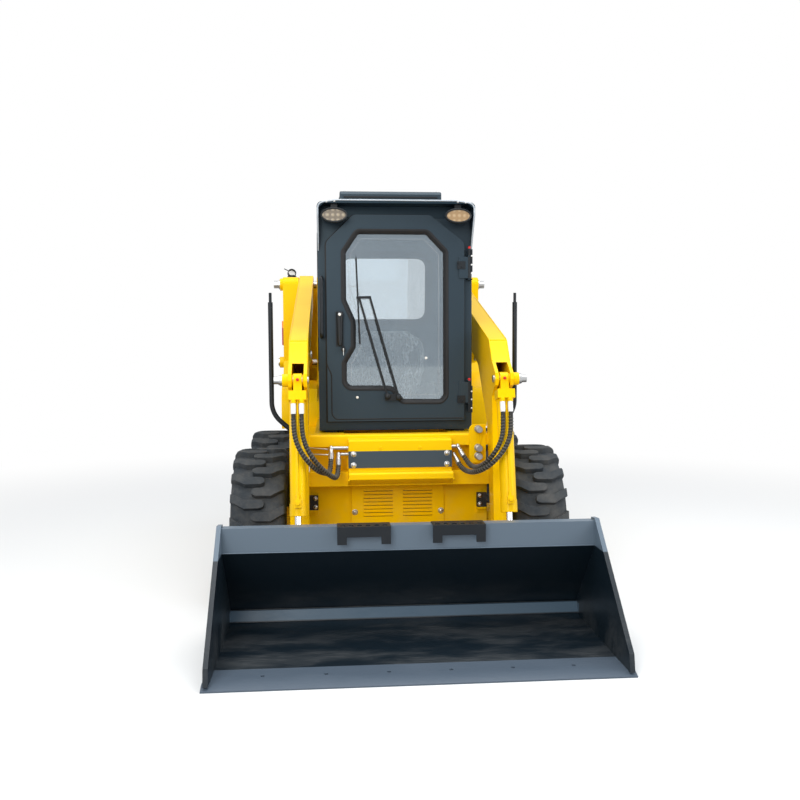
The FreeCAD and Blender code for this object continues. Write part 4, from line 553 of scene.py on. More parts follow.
    def place(self, name: str, finish: Finish, body: str, edge: float = 0.0, node: str | None = None,
              smooth: float = 35.0) -> bpy.types.Object:
        """Make the piece.

        Args:
            name: the piece's name.
            finish: its surface.
            body: the CAD body that carries it.
            edge: width of its rounded edges, 0 for none.
            node: a CAD node that it stands for.
            smooth: edges sharper than this many degrees stay sharp.

        Returns:
            The new object.
        """
        bmesh.ops.remove_doubles(self.work, verts=self.work.verts, dist=1e-5)
        bmesh.ops.recalc_face_normals(self.work, faces=self.work.faces)
        mesh = bpy.data.meshes.new(name)
        self.work.to_mesh(mesh)
        self.work.free()
        return settle(mesh, name, finish, body, edge, node, smooth)


def settle(mesh: bpy.types.Mesh, name: str, finish: Finish, body: str, edge: float = 0.0,
           node: str | None = None, smooth: float = 35.0) -> bpy.types.Object:
    """Make an object of a finished mesh, with its surface, edges, body and slot."""
    piece = bpy.data.objects.new(name, mesh)
    bpy.context.scene.collection.objects.link(piece)
    mesh.materials.clear()
    mesh.materials.append(finish.material)
    mesh.polygons.foreach_set("use_smooth", [True] * len(mesh.polygons))
    mesh.set_sharp_from_angle(angle=math.radians(smooth))
    if edge:
        bevel = piece.modifiers.new("rounded_edges", "BEVEL")
        bevel.width = edge
        bevel.segments = 2
        bevel.limit_method = "ANGLE"
        bevel.angle_limit = math.radians(smooth)
        bevel.harden_normals = True
        bevel.miter_outer = "MITER_ARC"
    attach(piece, body)
    if node:
        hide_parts(node)
    LOG.info("%s: %d faces", name, len(mesh.polygons))
    return piece


def body_of(node: str) -> str:
    """The body that a CAD node rides on."""
    return frame["nodes"][node]["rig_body"]


def merged(node: str) -> bmesh.types.BMesh:
    """A copy of a CAD node's triangles with their doubled corners joined."""
    work = bmesh.new()
    work.from_mesh(frame["nodes"][node].data)
    bmesh.ops.remove_doubles(work, verts=work.verts, dist=2e-5)
    return work


def soften(node: str, finish: Finish, edge: float) -> None:
    """Let a copy of a CAD node with rounded edges stand for the node."""
    work = merged(node)
    bmesh.ops.recalc_face_normals(work, faces=work.faces)
    mesh = bpy.data.meshes.new(node + "_dressed")
    work.to_mesh(mesh)
    work.free()
    # The imported normals belong to the unmerged triangles.
    stale = mesh.attributes.get("custom_normal")
    if stale:
        mesh.attributes.remove(stale)
    settle(mesh, node + "_dressed", finish, body_of(node), edge, node, smooth=32.0)


def loops_of(node: str, facing: Vector, keep: Callable[[Vector], bool] = lambda spot: True) -> list[list[Vector]]:
    """Border loops of the CAD faces that look one way.

    Args:
        node: the CAD node.
        facing: the direction that the faces look in.
        keep: tells from a face's middle whether it counts.

    Returns:
        The loops, longest first, each anticlockwise seen against facing.
    """
    work = merged(node)
    # A dict keeps the mesh's order, so the loops come out the same each run.
    faces = {f: True for f in work.faces if f.normal.dot(facing) > 0.999 and keep(f.calc_center_median())}
    after = {}
    for face in faces:
        for loop in face.loops:
            if not any(other in faces for other in loop.edge.link_faces if other is not face):
                after[loop.vert] = loop.link_loop_next.vert
    loops = []
    while after:
        vert, step = after.popitem()
        chain = [vert.co.copy()]
        while step in after:
            chain.append(step.co.copy())
            step = after.pop(step)
        loops.append(chain)
    work.free()
    return sorted(loops, key=lambda loop: -sum((a - b).length for a, b in zip(loop, loop[1:] + loop[:1])))


@dataclass(frozen=True)
class Plates:
    """CAD nodes that keep their own form: their finish, the width of their rounded edges and their names."""

    finish: Finish
    edge: float
    nodes: str

    def build(self) -> None:
        """Dress each node."""
        for node in self.nodes.split():
            soften(node, self.finish, self.edge)


PLATES = (
    Plates(YELLOW, 0.006, "engine_hood"), Plates(YELLOW, 0.005, "rear_door"),
    Plates(YELLOW, 0.004, "main_frame tower_left tower_right arm_left arm_right cross_member"),
    Plates(YELLOW, 0.003, "axle_housings coupler_frame coupler_levers"),
    Plates(YELLOW, 0.002, "fenders tilt_barrels lift_barrels"), Plates(YELLOW, 0.0015, "coupler_bracket"),
    Plates(YELLOW, 0.0012, "front_panel"), Plates(SLATE, 0.008, "roof_unit"), Plates(SLATE, 0.005, "door_frame"),
    Plates(SLATE, 0.004, "cab_frame"), Plates(SHADED_ROOF, 0.003, "cab_roof"), Plates(COVER, 0.002, "cover_plate"),
    Plates(BLACK, 0.004, "rear_bumper"), Plates(BLACK, 0.0012, "rear_grille bucket_steps"),
    Plates(BLACK, 0.0, "mirror_posts grab_handle"), Plates(PLASTIC, 0.006, "seat_base"),
    Plates(PLASTIC, 0.003, "control_levers"), Plates(PLASTIC, 0.0015, "lamp_pods"),
    Plates(CAST, 0.006, "engine_block"), Plates(MOUNT, 0.003, "rubber_mounts"),
    Plates(ZINC, 0.002, "tower_pins arm_pins"),
    Plates(STEEL, 0.0012, "hydraulic_fittings"), Plates(CHROME, 0.0015, "tilt_rods lift_rods"),
    Plates(BUCKET, 0.003, "bucket_shell"), Plates(EDGE, 0.0, "cutting_edge"), Plates(LAMP, 0.002, "roof_lamps"),
    Plates(TAIL, 0.003, "tail_lamps"), Plates(PANE, 0.0, "cab_windows door_glass"),
)


@dataclass(frozen=True)
class Tread:
    """Sizes of the tyre: its casing's section and the lugs on it."""

    lugs: int = 19
    crown: float = 0.4185
    # How far round the crown the first lug stands.
    lead: float = 0.047
    # A lug runs straight over the tyre's middle and slants back beyond its kink, towards the tyre's side.
    kink: float = 0.070
    side: float = 0.15
    rise: float = 0.044
    # Its root sinks into the casing, deeper beyond the shoulder, and is broader than its top.
    root: float = 0.345
    deepest: float = 0.3
    shoulder: float = 0.12
    sink: float = 1.2
    flank: float = 0.004
    bead: float = 0.09
    # Casing from the crown to the bead, as (half width, radius).
    casing: tuple = ((0.0, 0.388), (0.06, 0.3875), (0.105, 0.385), (0.128, 0.379), (0.141, 0.366), (0.147, 0.345),
                     (0.1495, 0.322), (0.1515, 0.3215), (0.1515, 0.316), (0.1495, 0.3155), (0.149, 0.295),
                     (0.146, 0.278), (0.1475, 0.2775), (0.1475, 0.272), (0.1445, 0.2715), (0.139, 0.255),
                     (0.136, 0.2535), (0.132, 0.240), (0.121, 0.222), (0.107, 0.2145))
    # One lug from its tip outwards, as (x, radius of its top, x of its root, thickness).
    stations: tuple = ((-0.034, 0.4185, -0.030, 0.022), (-0.026, 0.4187, -0.026, 0.034),
                       (-0.012, 0.4187, -0.012, 0.047), (0.03, 0.4187, 0.03, 0.049), (0.070, 0.418, 0.070, 0.050),
                       (0.10, 0.4165, 0.098, 0.049), (0.122, 0.4135, 0.112, 0.048), (0.139, 0.404, 0.120, 0.047),
                       (0.1478, 0.389, 0.124, 0.046), (0.1495, 0.368, 0.128, 0.044), (0.1492, 0.352, 0.132, 0.038))


class Wheels:
    """Tyres with bevelled bar lugs, and rims with nuts and a valve."""

    # Half the track, the disc's face beyond the tyre's middle, and the nuts' and valve's places on it.
    TRACK, DISC, NUTS, NUT_CIRCLE = 0.770, 0.0085, 8, 0.100
    VALVE_OUT, VALVE_UP = 0.02, 0.172

    def __init__(self, tread: Tread = Tread()) -> None:
        """Remember the tread's sizes."""
        self.tread = tread

    def lug(self, turn: float, side: float, hub: Vector) -> list[list[Vector]]:
        """Sections of one lug at an angle round the hub, from its tip to the sidewall."""
        tread = self.tread
        spin = Matrix.Rotation(turn, 3, "X")
        sections = []
        for x, top, foot, thick in tread.stations:
            drift = tread.rise * (max(0.0, (x - tread.kink) / (tread.side - tread.kink)) - 0.5)
            root = max(tread.root - max(0.0, x - tread.shoulder) * tread.sink, tread.deepest)
            wide = thick / 2 + tread.flank
            corners = (x, top, -thick / 2), (x, top, thick / 2), (foot, root, wide), (foot, root, -wide)
            section = []
            for along, radius, half in corners:
                y = drift + half
                spot = Vector((along * side, y, math.sqrt(radius ** 2 - y ** 2)))
                section.append(hub + spin @ spot)
            sections.append(section)
        return sections

    def tyre(self, node: str, hub: Vector, outward: float) -> None:
        """One tyre about its hub; outward is the side that its rim's face looks to."""
        tread = self.tread
        inner = tread.casing[-1][1]
        section = [*reversed(tread.casing), *((-x, r) for x, r in tread.casing[1:])]
        section += [(-tread.bead, inner), (tread.bead, inner)]
        casing = Shape().lathe(section, hub, X, 96, closed=True)
        casing.place(node + "_casing", TYRE, body_of(node), node=node, smooth=40)
        lugs = Shape()
        pitch = math.tau / tread.lugs
        start = math.atan2(tread.lead, tread.crown)
        for index in range(tread.lugs):
            lugs.skin(self.lug(start + index * pitch, outward, hub))
            lugs.skin(self.lug(start + (index + 0.5) * pitch, -outward, hub))
        lugs.place(node + "_lugs", TYRE, body_of(node), edge=0.0045, smooth=30)

    def nuts(self, rim: str, hub: Vector, aim: Vector) -> None:
        """Nuts on their studs and the valve, on a rim's disc."""
        shape = Shape()
        for index in range(self.NUTS):
            angle = math.tau * (index + 0.5) / self.NUTS
            spot = hub + aim * self.DISC + (Y * math.cos(angle) + Z * math.sin(angle)) * self.NUT_CIRCLE
            shape.bolt(spot, aim, 0.027).bar(spot, spot + aim * 0.019, 0.008, 12)
        shape.place(rim + "_nuts", ZINC, body_of(rim), edge=0.0008)
        valve = [(0, 0.007), (0.03, 0.006), (0.032, 0.0045), (0.045, 0.0045), (0.046, 0.003)]
        stem = hub + aim * self.VALVE_OUT + Z * self.VALVE_UP
        Shape().lathe(valve, stem, aim, 14).place(rim + "_valve", PLASTIC, body_of(rim))

    def build(self) -> None:
        """All four wheels."""
        for place in ("front", "rear"):
            for side, outward in SIDES:
                rim = f"rim_{place}_{side}"
                low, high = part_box(rim)
                hub = Vector((outward * self.TRACK, (low.y + high.y) / 2, (low.z + high.z) / 2))
                self.tyre(f"tyre_{place}_{side}", hub, outward)
                soften(rim, RIM_YELLOW, 0.002)
                self.nuts(rim, hub, X * outward)


@dataclass(frozen=True)
class Route:
    """One hose: its node and the points that it bends towards, in millimetres from the front axle."""

    node: str
    points: tuple


class Hoses:
    """Four wrapped hoses from the tilt cylinders to the cross member."""

    DIAMETER = 0.023
    GUARD_PITCH, GUARD_RADIUS = 0.0165, 0.0027
    ROUTES = (
        Route("hose_right_outer", ((-568, -487, 1110.4), (-568, -518, 1002.4), (-550, -563, 922),
                                   (-505, -568, 844), (-450, -528, 780), (-412, -455, 757), (-388, -385, 744),
                                   (-378, -318, 776), (-376, -285, 846))),
        Route("hose_right_inner", ((-526, -487, 1110.4), (-526, -518, 1002.4), (-510, -551, 922),
                                   (-470, -560, 848), (-416, -530, 781), (-368, -460, 735), (-348, -385, 722),
                                   (-338, -318, 748), (-336, -285, 812))),
        Route("hose_left_inner", ((526, -487, 1110.4), (526, -518, 1002.4), (508, -551, 925), (465, -560, 855),
                                  (424, -520, 800), (400, -445, 773), (380, -365, 768), (362, -300, 795),
                                  (332, -275, 848))),
        Route("hose_left_outer", ((568, -487, 1110.4), (568, -518, 1002.4), (545, -564, 920), (492, -574, 845),
                                  (432, -549, 785), (380, -475, 750), (350, -385, 745), (326, -318, 762),
                                  (306, -275, 806))),
    )

    def curve(self, route: Route) -> bpy.types.Object:
        """The hose itself, one open curve through its control points."""
        line = bpy.data.curves.new(route.node + "_line", "CURVE")
        line.dimensions = "3D"
        line.bevel_depth = self.DIAMETER / 2
        line.bevel_resolution = 4
        line.resolution_u = 16
        line.use_fill_caps = True
        spline = line.splines.new("NURBS")
        spline.points.add(len(route.points) - 1)
        for knot, point in zip(spline.points, route.points):
            knot.co = (*mm(*point), 1.0)
        spline.order_u = 3
        spline.use_endpoint_u = True
        line.materials.append(HOSE.material)
        piece = bpy.data.objects.new(route.node + "_hose", line)
        bpy.context.scene.collection.objects.link(piece)
        return piece

    @staticmethod
    def spots(route: Route, count: int) -> list[Vector]:
        """Points evenly spaced in parameter along the hose's centreline."""
        knots = [mm(*point) for point in route.points]
        middle = [(a + b) / 2 for a, b in zip(knots, knots[1:])]
        starts = [knots[0]] + middle[1:-1]
        ends = middle[1:-1] + [knots[-1]]
        found = []
        for index in range(count + 1):
            run, part = divmod(index * len(starts) / count, 1)
            if int(run) == len(starts):
                run, part = run - 1, 1.0
            first, bend, last = starts[int(run)], knots[int(run) + 1], ends[int(run)]
            found.append(first.lerp(bend, part).lerp(bend.lerp(last, part), part))
        return found

    def wrap(self, route: Route) -> bpy.types.Object:
        """The spiral guard round a hose."""
        path = self.spots(route, 900)
        tangent = (path[1] - path[0]).normalized()
        side = tangent.orthogonal().normalized()
        gone, coil = 0.0, []
        for index, spot in enumerate(path[:-1]):
            ahead = path[index + 1] - spot
            tangent = ahead.normalized()
            side = (side - tangent * side.dot(tangent)).normalized()
            gone += ahead.length
            angle = math.tau * gone / self.GUARD_PITCH
            coil.append(spot + (side * math.cos(angle) + tangent.cross(side) * math.sin(angle)) * self.DIAMETER / 2)
        return Shape().tube(coil[40:-12], self.GUARD_RADIUS, 6).place(route.node + "_wrap", GUARD, "arms", smooth=60)

    def sleeves(self, route: Route) -> list[bpy.types.Object]:
        """The white sleeve at a hose's upper end and the crimped one at its lower end."""
        path = self.spots(route, 400)
        upper = [(-0.016, 0.0120), (-0.015, 0.0136), (0.030, 0.0136), (0.035, 0.0130), (0.040, 0.0120)]
        lower = [(0.001, 0.0125), (0.002, 0.0142)]
        for start in (0.004, 0.013, 0.022, 0.031):
            lower += [(start, 0.0148), (start + 0.006, 0.0148), (start + 0.007, 0.0138), (start + 0.0085, 0.0138)]
        lower += [(0.041, 0.0135), (0.042, 0.012)]
        sleeve = Shape().lathe(upper, path[0], path[14] - path[0], 24)
        ferrule = Shape().lathe(lower, path[-1], path[-15] - path[-1], 24)
        return [sleeve.place(route.node + "_sleeve", WHITE, "arms"),
                ferrule.place(route.node + "_ferrule", STEEL, "arms")]

    def build(self) -> None:
        """Each hose with its guard and sleeves."""
        for route in self.ROUTES:
            piece = self.curve(route)
            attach(piece, "arms")
            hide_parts(route.node)
            path = self.spots(route, 900)
            length = sum((b - a).length for a, b in zip(path, path[1:]))
            self.wrap(route)
            self.sleeves(route)
            LOG.info("%s: %.3f m", route.node, length)


def rounded(corners: Sequence[Vector], radius: float, steps: int = 6) -> list[Vector]:
    """A flat polygon with its corners rounded."""
    loop = []
    for index, spot in enumerate(corners):
        before = (corners[index - 1] - spot).normalized()
        after = (corners[(index + 1) % len(corners)] - spot).normalized()
        start, end = spot + before * radius, spot + after * radius
        for step in range(steps + 1):
            part = step / steps
            loop.append(start.lerp(spot, part).lerp(spot.lerp(end, part), part))
    return loop


@dataclass(frozen=True)
class Bolts:
    """A set of like fasteners: which way they face, their size and where they stand, in millimetres."""

    name: str
    finish: Finish
    body: str
    axis: Vector
    across: float
    head: Head
    spots: tuple
    twin: bool = True

    def build(self) -> None:
        """Make the set, with a mirrored one on the machine's right if it has a twin."""
        shape = Shape()
        for x, y, z in self.spots:
            for sign in (1, -1) if self.twin else (1,):
                axis = Vector((self.axis.x * sign, self.axis.y, self.axis.z))
                shape.bolt(mm(x * sign, y, z), axis, self.across, self.head)
        shape.place(self.name, self.finish, self.body, edge=0.0006)


@dataclass(frozen=True)
class Block:
    """A small plate or block: low and high corners in millimetres."""

    name: str
    finish: Finish
    body: str
    boxes: tuple
    edge: float = 0.001
    twin: bool = True

    def build(self) -> None:
        """Make the blocks as one piece."""
        shape = Shape()
        for low, high in self.boxes:
            shape.block(mm(*low), mm(*high))
            if self.twin:
                shape.block(mm(-high[0], low[1], low[2]), mm(-low[0], high[1], high[2]))
        shape.place(self.name, self.finish, self.body, edge=self.edge)


class Fasteners:
    """Bolts, plates and blocks too small for the frame."""

    # The front panel's louvres: rows, the lowest one's height and the pitch, and a lip's (y, rise) corners.
    ROWS, LOWEST, PITCH = 8, 455, 20.5
    LIP = ((-117.5, 11.5), (-125, 6.0), (-124.2, 4.4), (-117.5, 8.6))
    BOLTS = (
        Bolts("cover_bolts", ZINC, "arms", -Y, 0.024, Head.DOME, ((255, -308, 836), (255, -308, 776))),
        Bolts("cover_studs", YELLOW, "arms", -Y, 0.013, Head.HEX, ((107, -300, 868),)),
        Bolts("panel_bolts", ZINC, "chassis", -Y, 0.026, Head.DOME, ((245, -118, 482),)),
        Bolts("stop_bolts", ZINC, "chassis", -Y, 0.019, Head.DOME, ((467, -142, 568), (467, -142, 520))),
        Bolts("visor_bolts", ZINC, "chassis", -Y, 0.009, Head.DOME, ((387, -121, 2219), (344, -121, 2222))),
        Bolts("roof_bolts", ZINC, "chassis", Z, 0.014, Head.DOME, ((360, -85, 2227.5), (360, 980, 2227.5))),
        Bolts("unit_bolts", ZINC, "chassis", Z, 0.012, Head.HEX, ((280, 370, 2360), (280, 840, 2360))),
        Bolts("hinge_bolts", WHITE, "chassis", -Y, 0.0075, Head.DOME,
              tuple((432, -61, z) for z in (1930, 1880, 1832, 1159, 1113, 1063)), False),
        Bolts("leaf_bolts", BLACK, "cab_door", -Y, 0.010, Head.HEX,
              ((358, -61, 1888), (376, -61, 1868), (358, -61, 1124), (376, -61, 1104)), False),
        Bolts("bumper_bolts", ZINC, "chassis", Y, 0.022, Head.HEX, ((170, 1950, 377), (430, 1950, 377))),
        Bolts("post_bolts", ZINC, "chassis", Z, 0.013, Head.HEX,
              ((554, 98, 875), (554, 142, 875), (606, 98, 875), (606, 142, 875))),
        Bolts("tower_bolts", ZINC, "chassis", X, 0.018, Head.HEX,
              ((715, 1060, 905), (715, 1440, 905), (715, 1820, 905))),
        Bolts("hood_bolts", ZINC, "engine_hood", Z, 0.014, Head.DOME, ((400, 1215, 1500), (400, 1440, 1493))),
        Bolts("grille_bolts", ZINC, "rear_door", Y, 0.012, Head.DOME, ((350, 1932, 885), (350, 1932, 1315))),
    )
    BLOCKS = (
        Block("stop_brackets", YELLOW, "chassis",
              (((452, -142, 490), (504, -108, 502)), ((452, -120, 470), (504, -108, 490)))),
        Block("hinge_plates", BLACK, "chassis",
              (((424, -61, 1795), (437, 0, 1802)), ((424, -61, 1926), (437, 0, 1968)),
               ((424, -61, 1840), (437, -57, 1926)), ((424, -61, 1037), (437, 0, 1072)),
               ((424, -61, 1186), (437, 0, 1192)), ((424, -61, 1072), (437, -57, 1186))), twin=False),
        Block("hinge_leaves", BLACK, "cab_door",
              (((349, -61, 1856), (396, -57, 1900)), ((349, -61, 1092), (396, -57, 1136))), twin=False),
        Block("tail_bezels", BLACK, "chassis", (((715, 1690, 1415), (722, 1770, 1640)),)),
        Block("door_latch", BLACK, "rear_door",
              (((372, 1932, 985), (418, 1938, 1115)), ((384, 1938, 1010), (406, 1958, 1090))), 0.003, False),
        Block("hood_latch", BLACK, "engine_hood", (((-30, 1888, 1376), (30, 1896, 1396)),), 0.002, False),
        Block("radiator", BLACK, "chassis", (((-318, 1842, 900), (318, 1870, 1296)),), twin=False),
        # Black strips just behind the louvres' slots: dark sheets that paint the shade inside the slots.
        Block("louvre_slots", BLACK, "chassis",
              tuple(((29.5, -109.4, 455 + row * 20.5), (194.5, -108.1, 464 + row * 20.5)) for row in range(8)), 0.0),
        Block("handle_escutcheon", BLACK, "cab_door", (((-343, -53, 1420), (-300, -50, 1617)),), 0.001, False),
    )

    def build(self) -> None:
        """Make every set."""
        for item in (*self.BOLTS, *self.BLOCKS):
            item.build()
        lips = Shape()
        for sign in (1, -1):
            for row in range(self.ROWS):
                low = self.LOWEST + row * self.PITCH
                lips.prism([mm(sign * 112 - 82, y, low + rise) for y, rise in self.LIP], X * 0.164)
        lips.place("louvre_lips", YELLOW, "chassis", edge=0.0004)


class Seals:
    """Rubber round the panes, the door and the rear window."""

    # Sections as (outward, height) from the border of the opening.
    PANE_SECTION = ((-0.008, 0.0), (-0.007, 0.0035), (-0.002, 0.005), (0.004, 0.0035), (0.019, -0.0125),
                    (0.021, -0.0165), (0.021, -0.0178), (0.0, -0.0178), (0.0, 0.0))
    LEAF_SECTION = ((-0.004, -0.0435), (0.003, -0.0435), (0.0085, -0.0455), (0.0085, -0.0488), (-0.004, -0.0488))
    SIDE_SECTION = ((-0.014, 0.0), (-0.013, 0.004), (0.003, 0.0045), (0.012, -0.011), (0.012, -0.0138), (0.0, -0.0138),
                    (0.0, 0.0))
    REAR_SECTION = ((-0.045, 0.0), (-0.045, 0.004), (0.002, 0.006), (0.004, 0.0), (0.0, -0.012), (-0.01, -0.012),
                    (-0.01, 0.0))

    def door(self) -> None:
        """The seals of the leaf and its pane, and the pane's inner line."""
        leaf, pane = loops_of("door_frame", -Y, lambda spot: abs(spot.y - mm(0, -50, 0).y) < 0.0005)[:2]
        Shape().moulding(pane, -Y, self.PANE_SECTION).place("pane_seal", SEAL, "cab_door", smooth=50)
        line = [(0.045, -0.0181), (0.0465, -0.0181), (0.0465, -0.0172), (0.045, -0.0172)]
        Shape().moulding(pane, -Y, line).place("pane_line", PALE, "cab_door")
        Shape().moulding(leaf, -Y, self.LEAF_SECTION).place("leaf_seal", SEAL, "cab_door", smooth=50)
        path = [mm(-393, -50.2, 1320), mm(-392, -50.2, 1312), mm(-372, -50.2, 1268), mm(-369, -50.2, 1255),
                mm(-369, -50.2, 1045), mm(-366, -50.2, 1030), mm(-352, -50.2, 1012), mm(-340, -50.2, 1006),
                mm(384, -50.2, 1006)]
        Shape().tube(path, 0.0032, 8).place("leaf_groove", SEAL, "cab_door")

    def cab(self) -> None:
        """Seals of both side windows and the rounded gasket inside the rear one."""
        for side, sign in SIDES:
            loops = loops_of("cab_frame", X * sign, lambda spot: abs(abs(spot.x) - 0.442) < 0.0005)
            seal = Shape().moulding(loops[1], X * sign, self.SIDE_SECTION)
            seal.place(f"side_seal_{side}", SEAL, "chassis", smooth=50)
        # The rear window leans forwards as it rises.
        lean = 60 / 610
        out = Vector((0, -1, -lean)).normalized()
        window = (-292, 1608), (-292, 2032), (292, 2032), (292, 1608)
        loop = rounded([mm(x, 1109 - (z - 1540) * lean, z) for x, z in window], 0.075)
        Shape().moulding(loop, out, self.REAR_SECTION).place("rear_gasket", SEAL, "chassis", smooth=50)

    def build(self) -> None:
        """All seals."""
        self.door()
        self.cab()


class DoorTrim:
    """Handle, lock, hinge sleeves, wiper and buttons of the cab door."""

    # The wiper arms' pivots, as (x, z).
    PIVOTS = ((-52, 1134), (11, 1128))

    def handle(self) -> None:
        """The pull handle, its buttons, the lock and the key."""
        grip = Shape()
        stations = ((1425, 9), (1432, 13), (1450, 15), (1500, 16), (1560, 17), (1585, 21), (1604, 22), (1616, 16))
        grip.skin([[mm(-321 + half * math.cos(a), -71 + 15 * math.sin(a), z) for a in
                    (math.tau * i / 20 for i in range(20))] for z, half in stations])
        for low, high in ((1432, 1448), (1584, 1606)):
            grip.block(mm(-331, -72, low), mm(-311, -52, high))
        grip.place("door_handle_dressed", PLASTIC, "cab_door", edge=0.002, node="door_handle")
        buttons = Shape()
        for x, y, z, radius in ((-321, -86, 1600, 0.0085), (-224, -50, 1130, 0.0075), (172, -32, 1352, 0.008)):
            buttons.lathe([(-0.002, radius), (0.003, radius), (0.0048, radius / 1.4)], mm(x, y, z), -Y, 24)
        buttons.place("door_buttons", WHITE, "cab_door")
        lock = Shape()
        lock.lathe([(0.0, 0.012), (0.018, 0.012), (0.020, 0.0105)], mm(-301, -50, 1404), -Y, 24)
        lock.block(mm(-309, -56, 1388), mm(-293, -50, 1422))
        lock.place("door_lock", PLASTIC, "cab_door", edge=0.001)
        key = Shape()
        key.block(mm(-304, -82, 1396), mm(-298, -69, 1410)).block(mm(-303, -86, 1370), mm(-299, -80, 1404))
        key.place("door_key", ZINC, "cab_door", edge=0.0008)

    def hinges(self) -> None:
        """Sleeves, stems and caps of both hinges."""
        sleeves, caps, stems = Shape(), Shape(), Shape()
        tall = 0.12
        for low, cap in ((1805, 1972), (1094, 1222)):
            wall = [(0.0, 0.0092), (0.0, 0.0108), (tall, 0.0108), (tall, 0.0092)]
            sleeves.lathe(wall, mm(420, -50, low), Z, 24, closed=True)
            caps.lathe([(0.0, 0.0078), (0.010, 0.0072), (0.013, 0.0045)], mm(420, -50, cap), Z, 20)
        for low, high in ((1037, 1086), (1933, 1972)):
            stems.bar(mm(420, -50, low), mm(420, -50, high), 0.0085)
        sleeves.place("hinge_sleeves", BLACK, "cab_door")
        stems.place("hinge_stems", BLACK, "chassis")
        caps.place("hinge_caps", RED, "chassis")

    def wiper(self) -> None:
        """The wiper's housing, twin arms, blade and bosses."""
        bosses = Shape()
        for x, z in self.PIVOTS:
            bosses.lathe([(0.0, 0.017), (0.006, 0.017), (0.010, 0.013), (0.013, 0.006)], mm(x, -79, z), -Y, 24)
        bosses.bar(mm(-218, -78, 1692), mm(-218, -58, 1692), 0.006)
        bosses.bar(mm(-150, -83, 1694), mm(-150, -66, 1694), 0.008)
        bosses.place("wiper_bosses", PLASTIC, "cab_door")
        wiper = Shape().block(mm(-68, -80, 1111), mm(22, -50, 1148))
        strips = (((-209, 1688), self.PIVOTS[0], 12, -79, -71), ((-150, 1698), self.PIVOTS[1], 12, -79, -71),
                  ((-226, 1694), (-144, 1696), 14, -81, -75), ((-226, 1919), (-207, 1433), 9, -69, -58),
                  ((-226, 1919), (-207, 1433), 4, -58, -51))
        for start, end, width, near, deep in strips:
            run = (mm(end[0], 0, end[1]) - mm(start[0], 0, start[1])).normalized().cross(Y) * width / 2000
            a, b = mm(start[0], near, start[1]), mm(end[0], near, end[1])
            wiper.prism([a - run, b - run, b + run, a + run], Y * (deep - near) / 1000)
        wiper.place("wiper_dressed", PLASTIC, "cab_door", edge=0.001, node="wiper")

    def build(self) -> None:
        """Everything on the door's face."""
        self.handle()
        self.hinges()
        self.wiper()


@dataclass(frozen=True)
class Pad:
    """A stuffed pad: its node, how far the start shape shrinks, and the planes of its sewn channels."""

    node: str
    shrink: tuple[float, float, float]
    cap: float
    channels: tuple
    rests: float


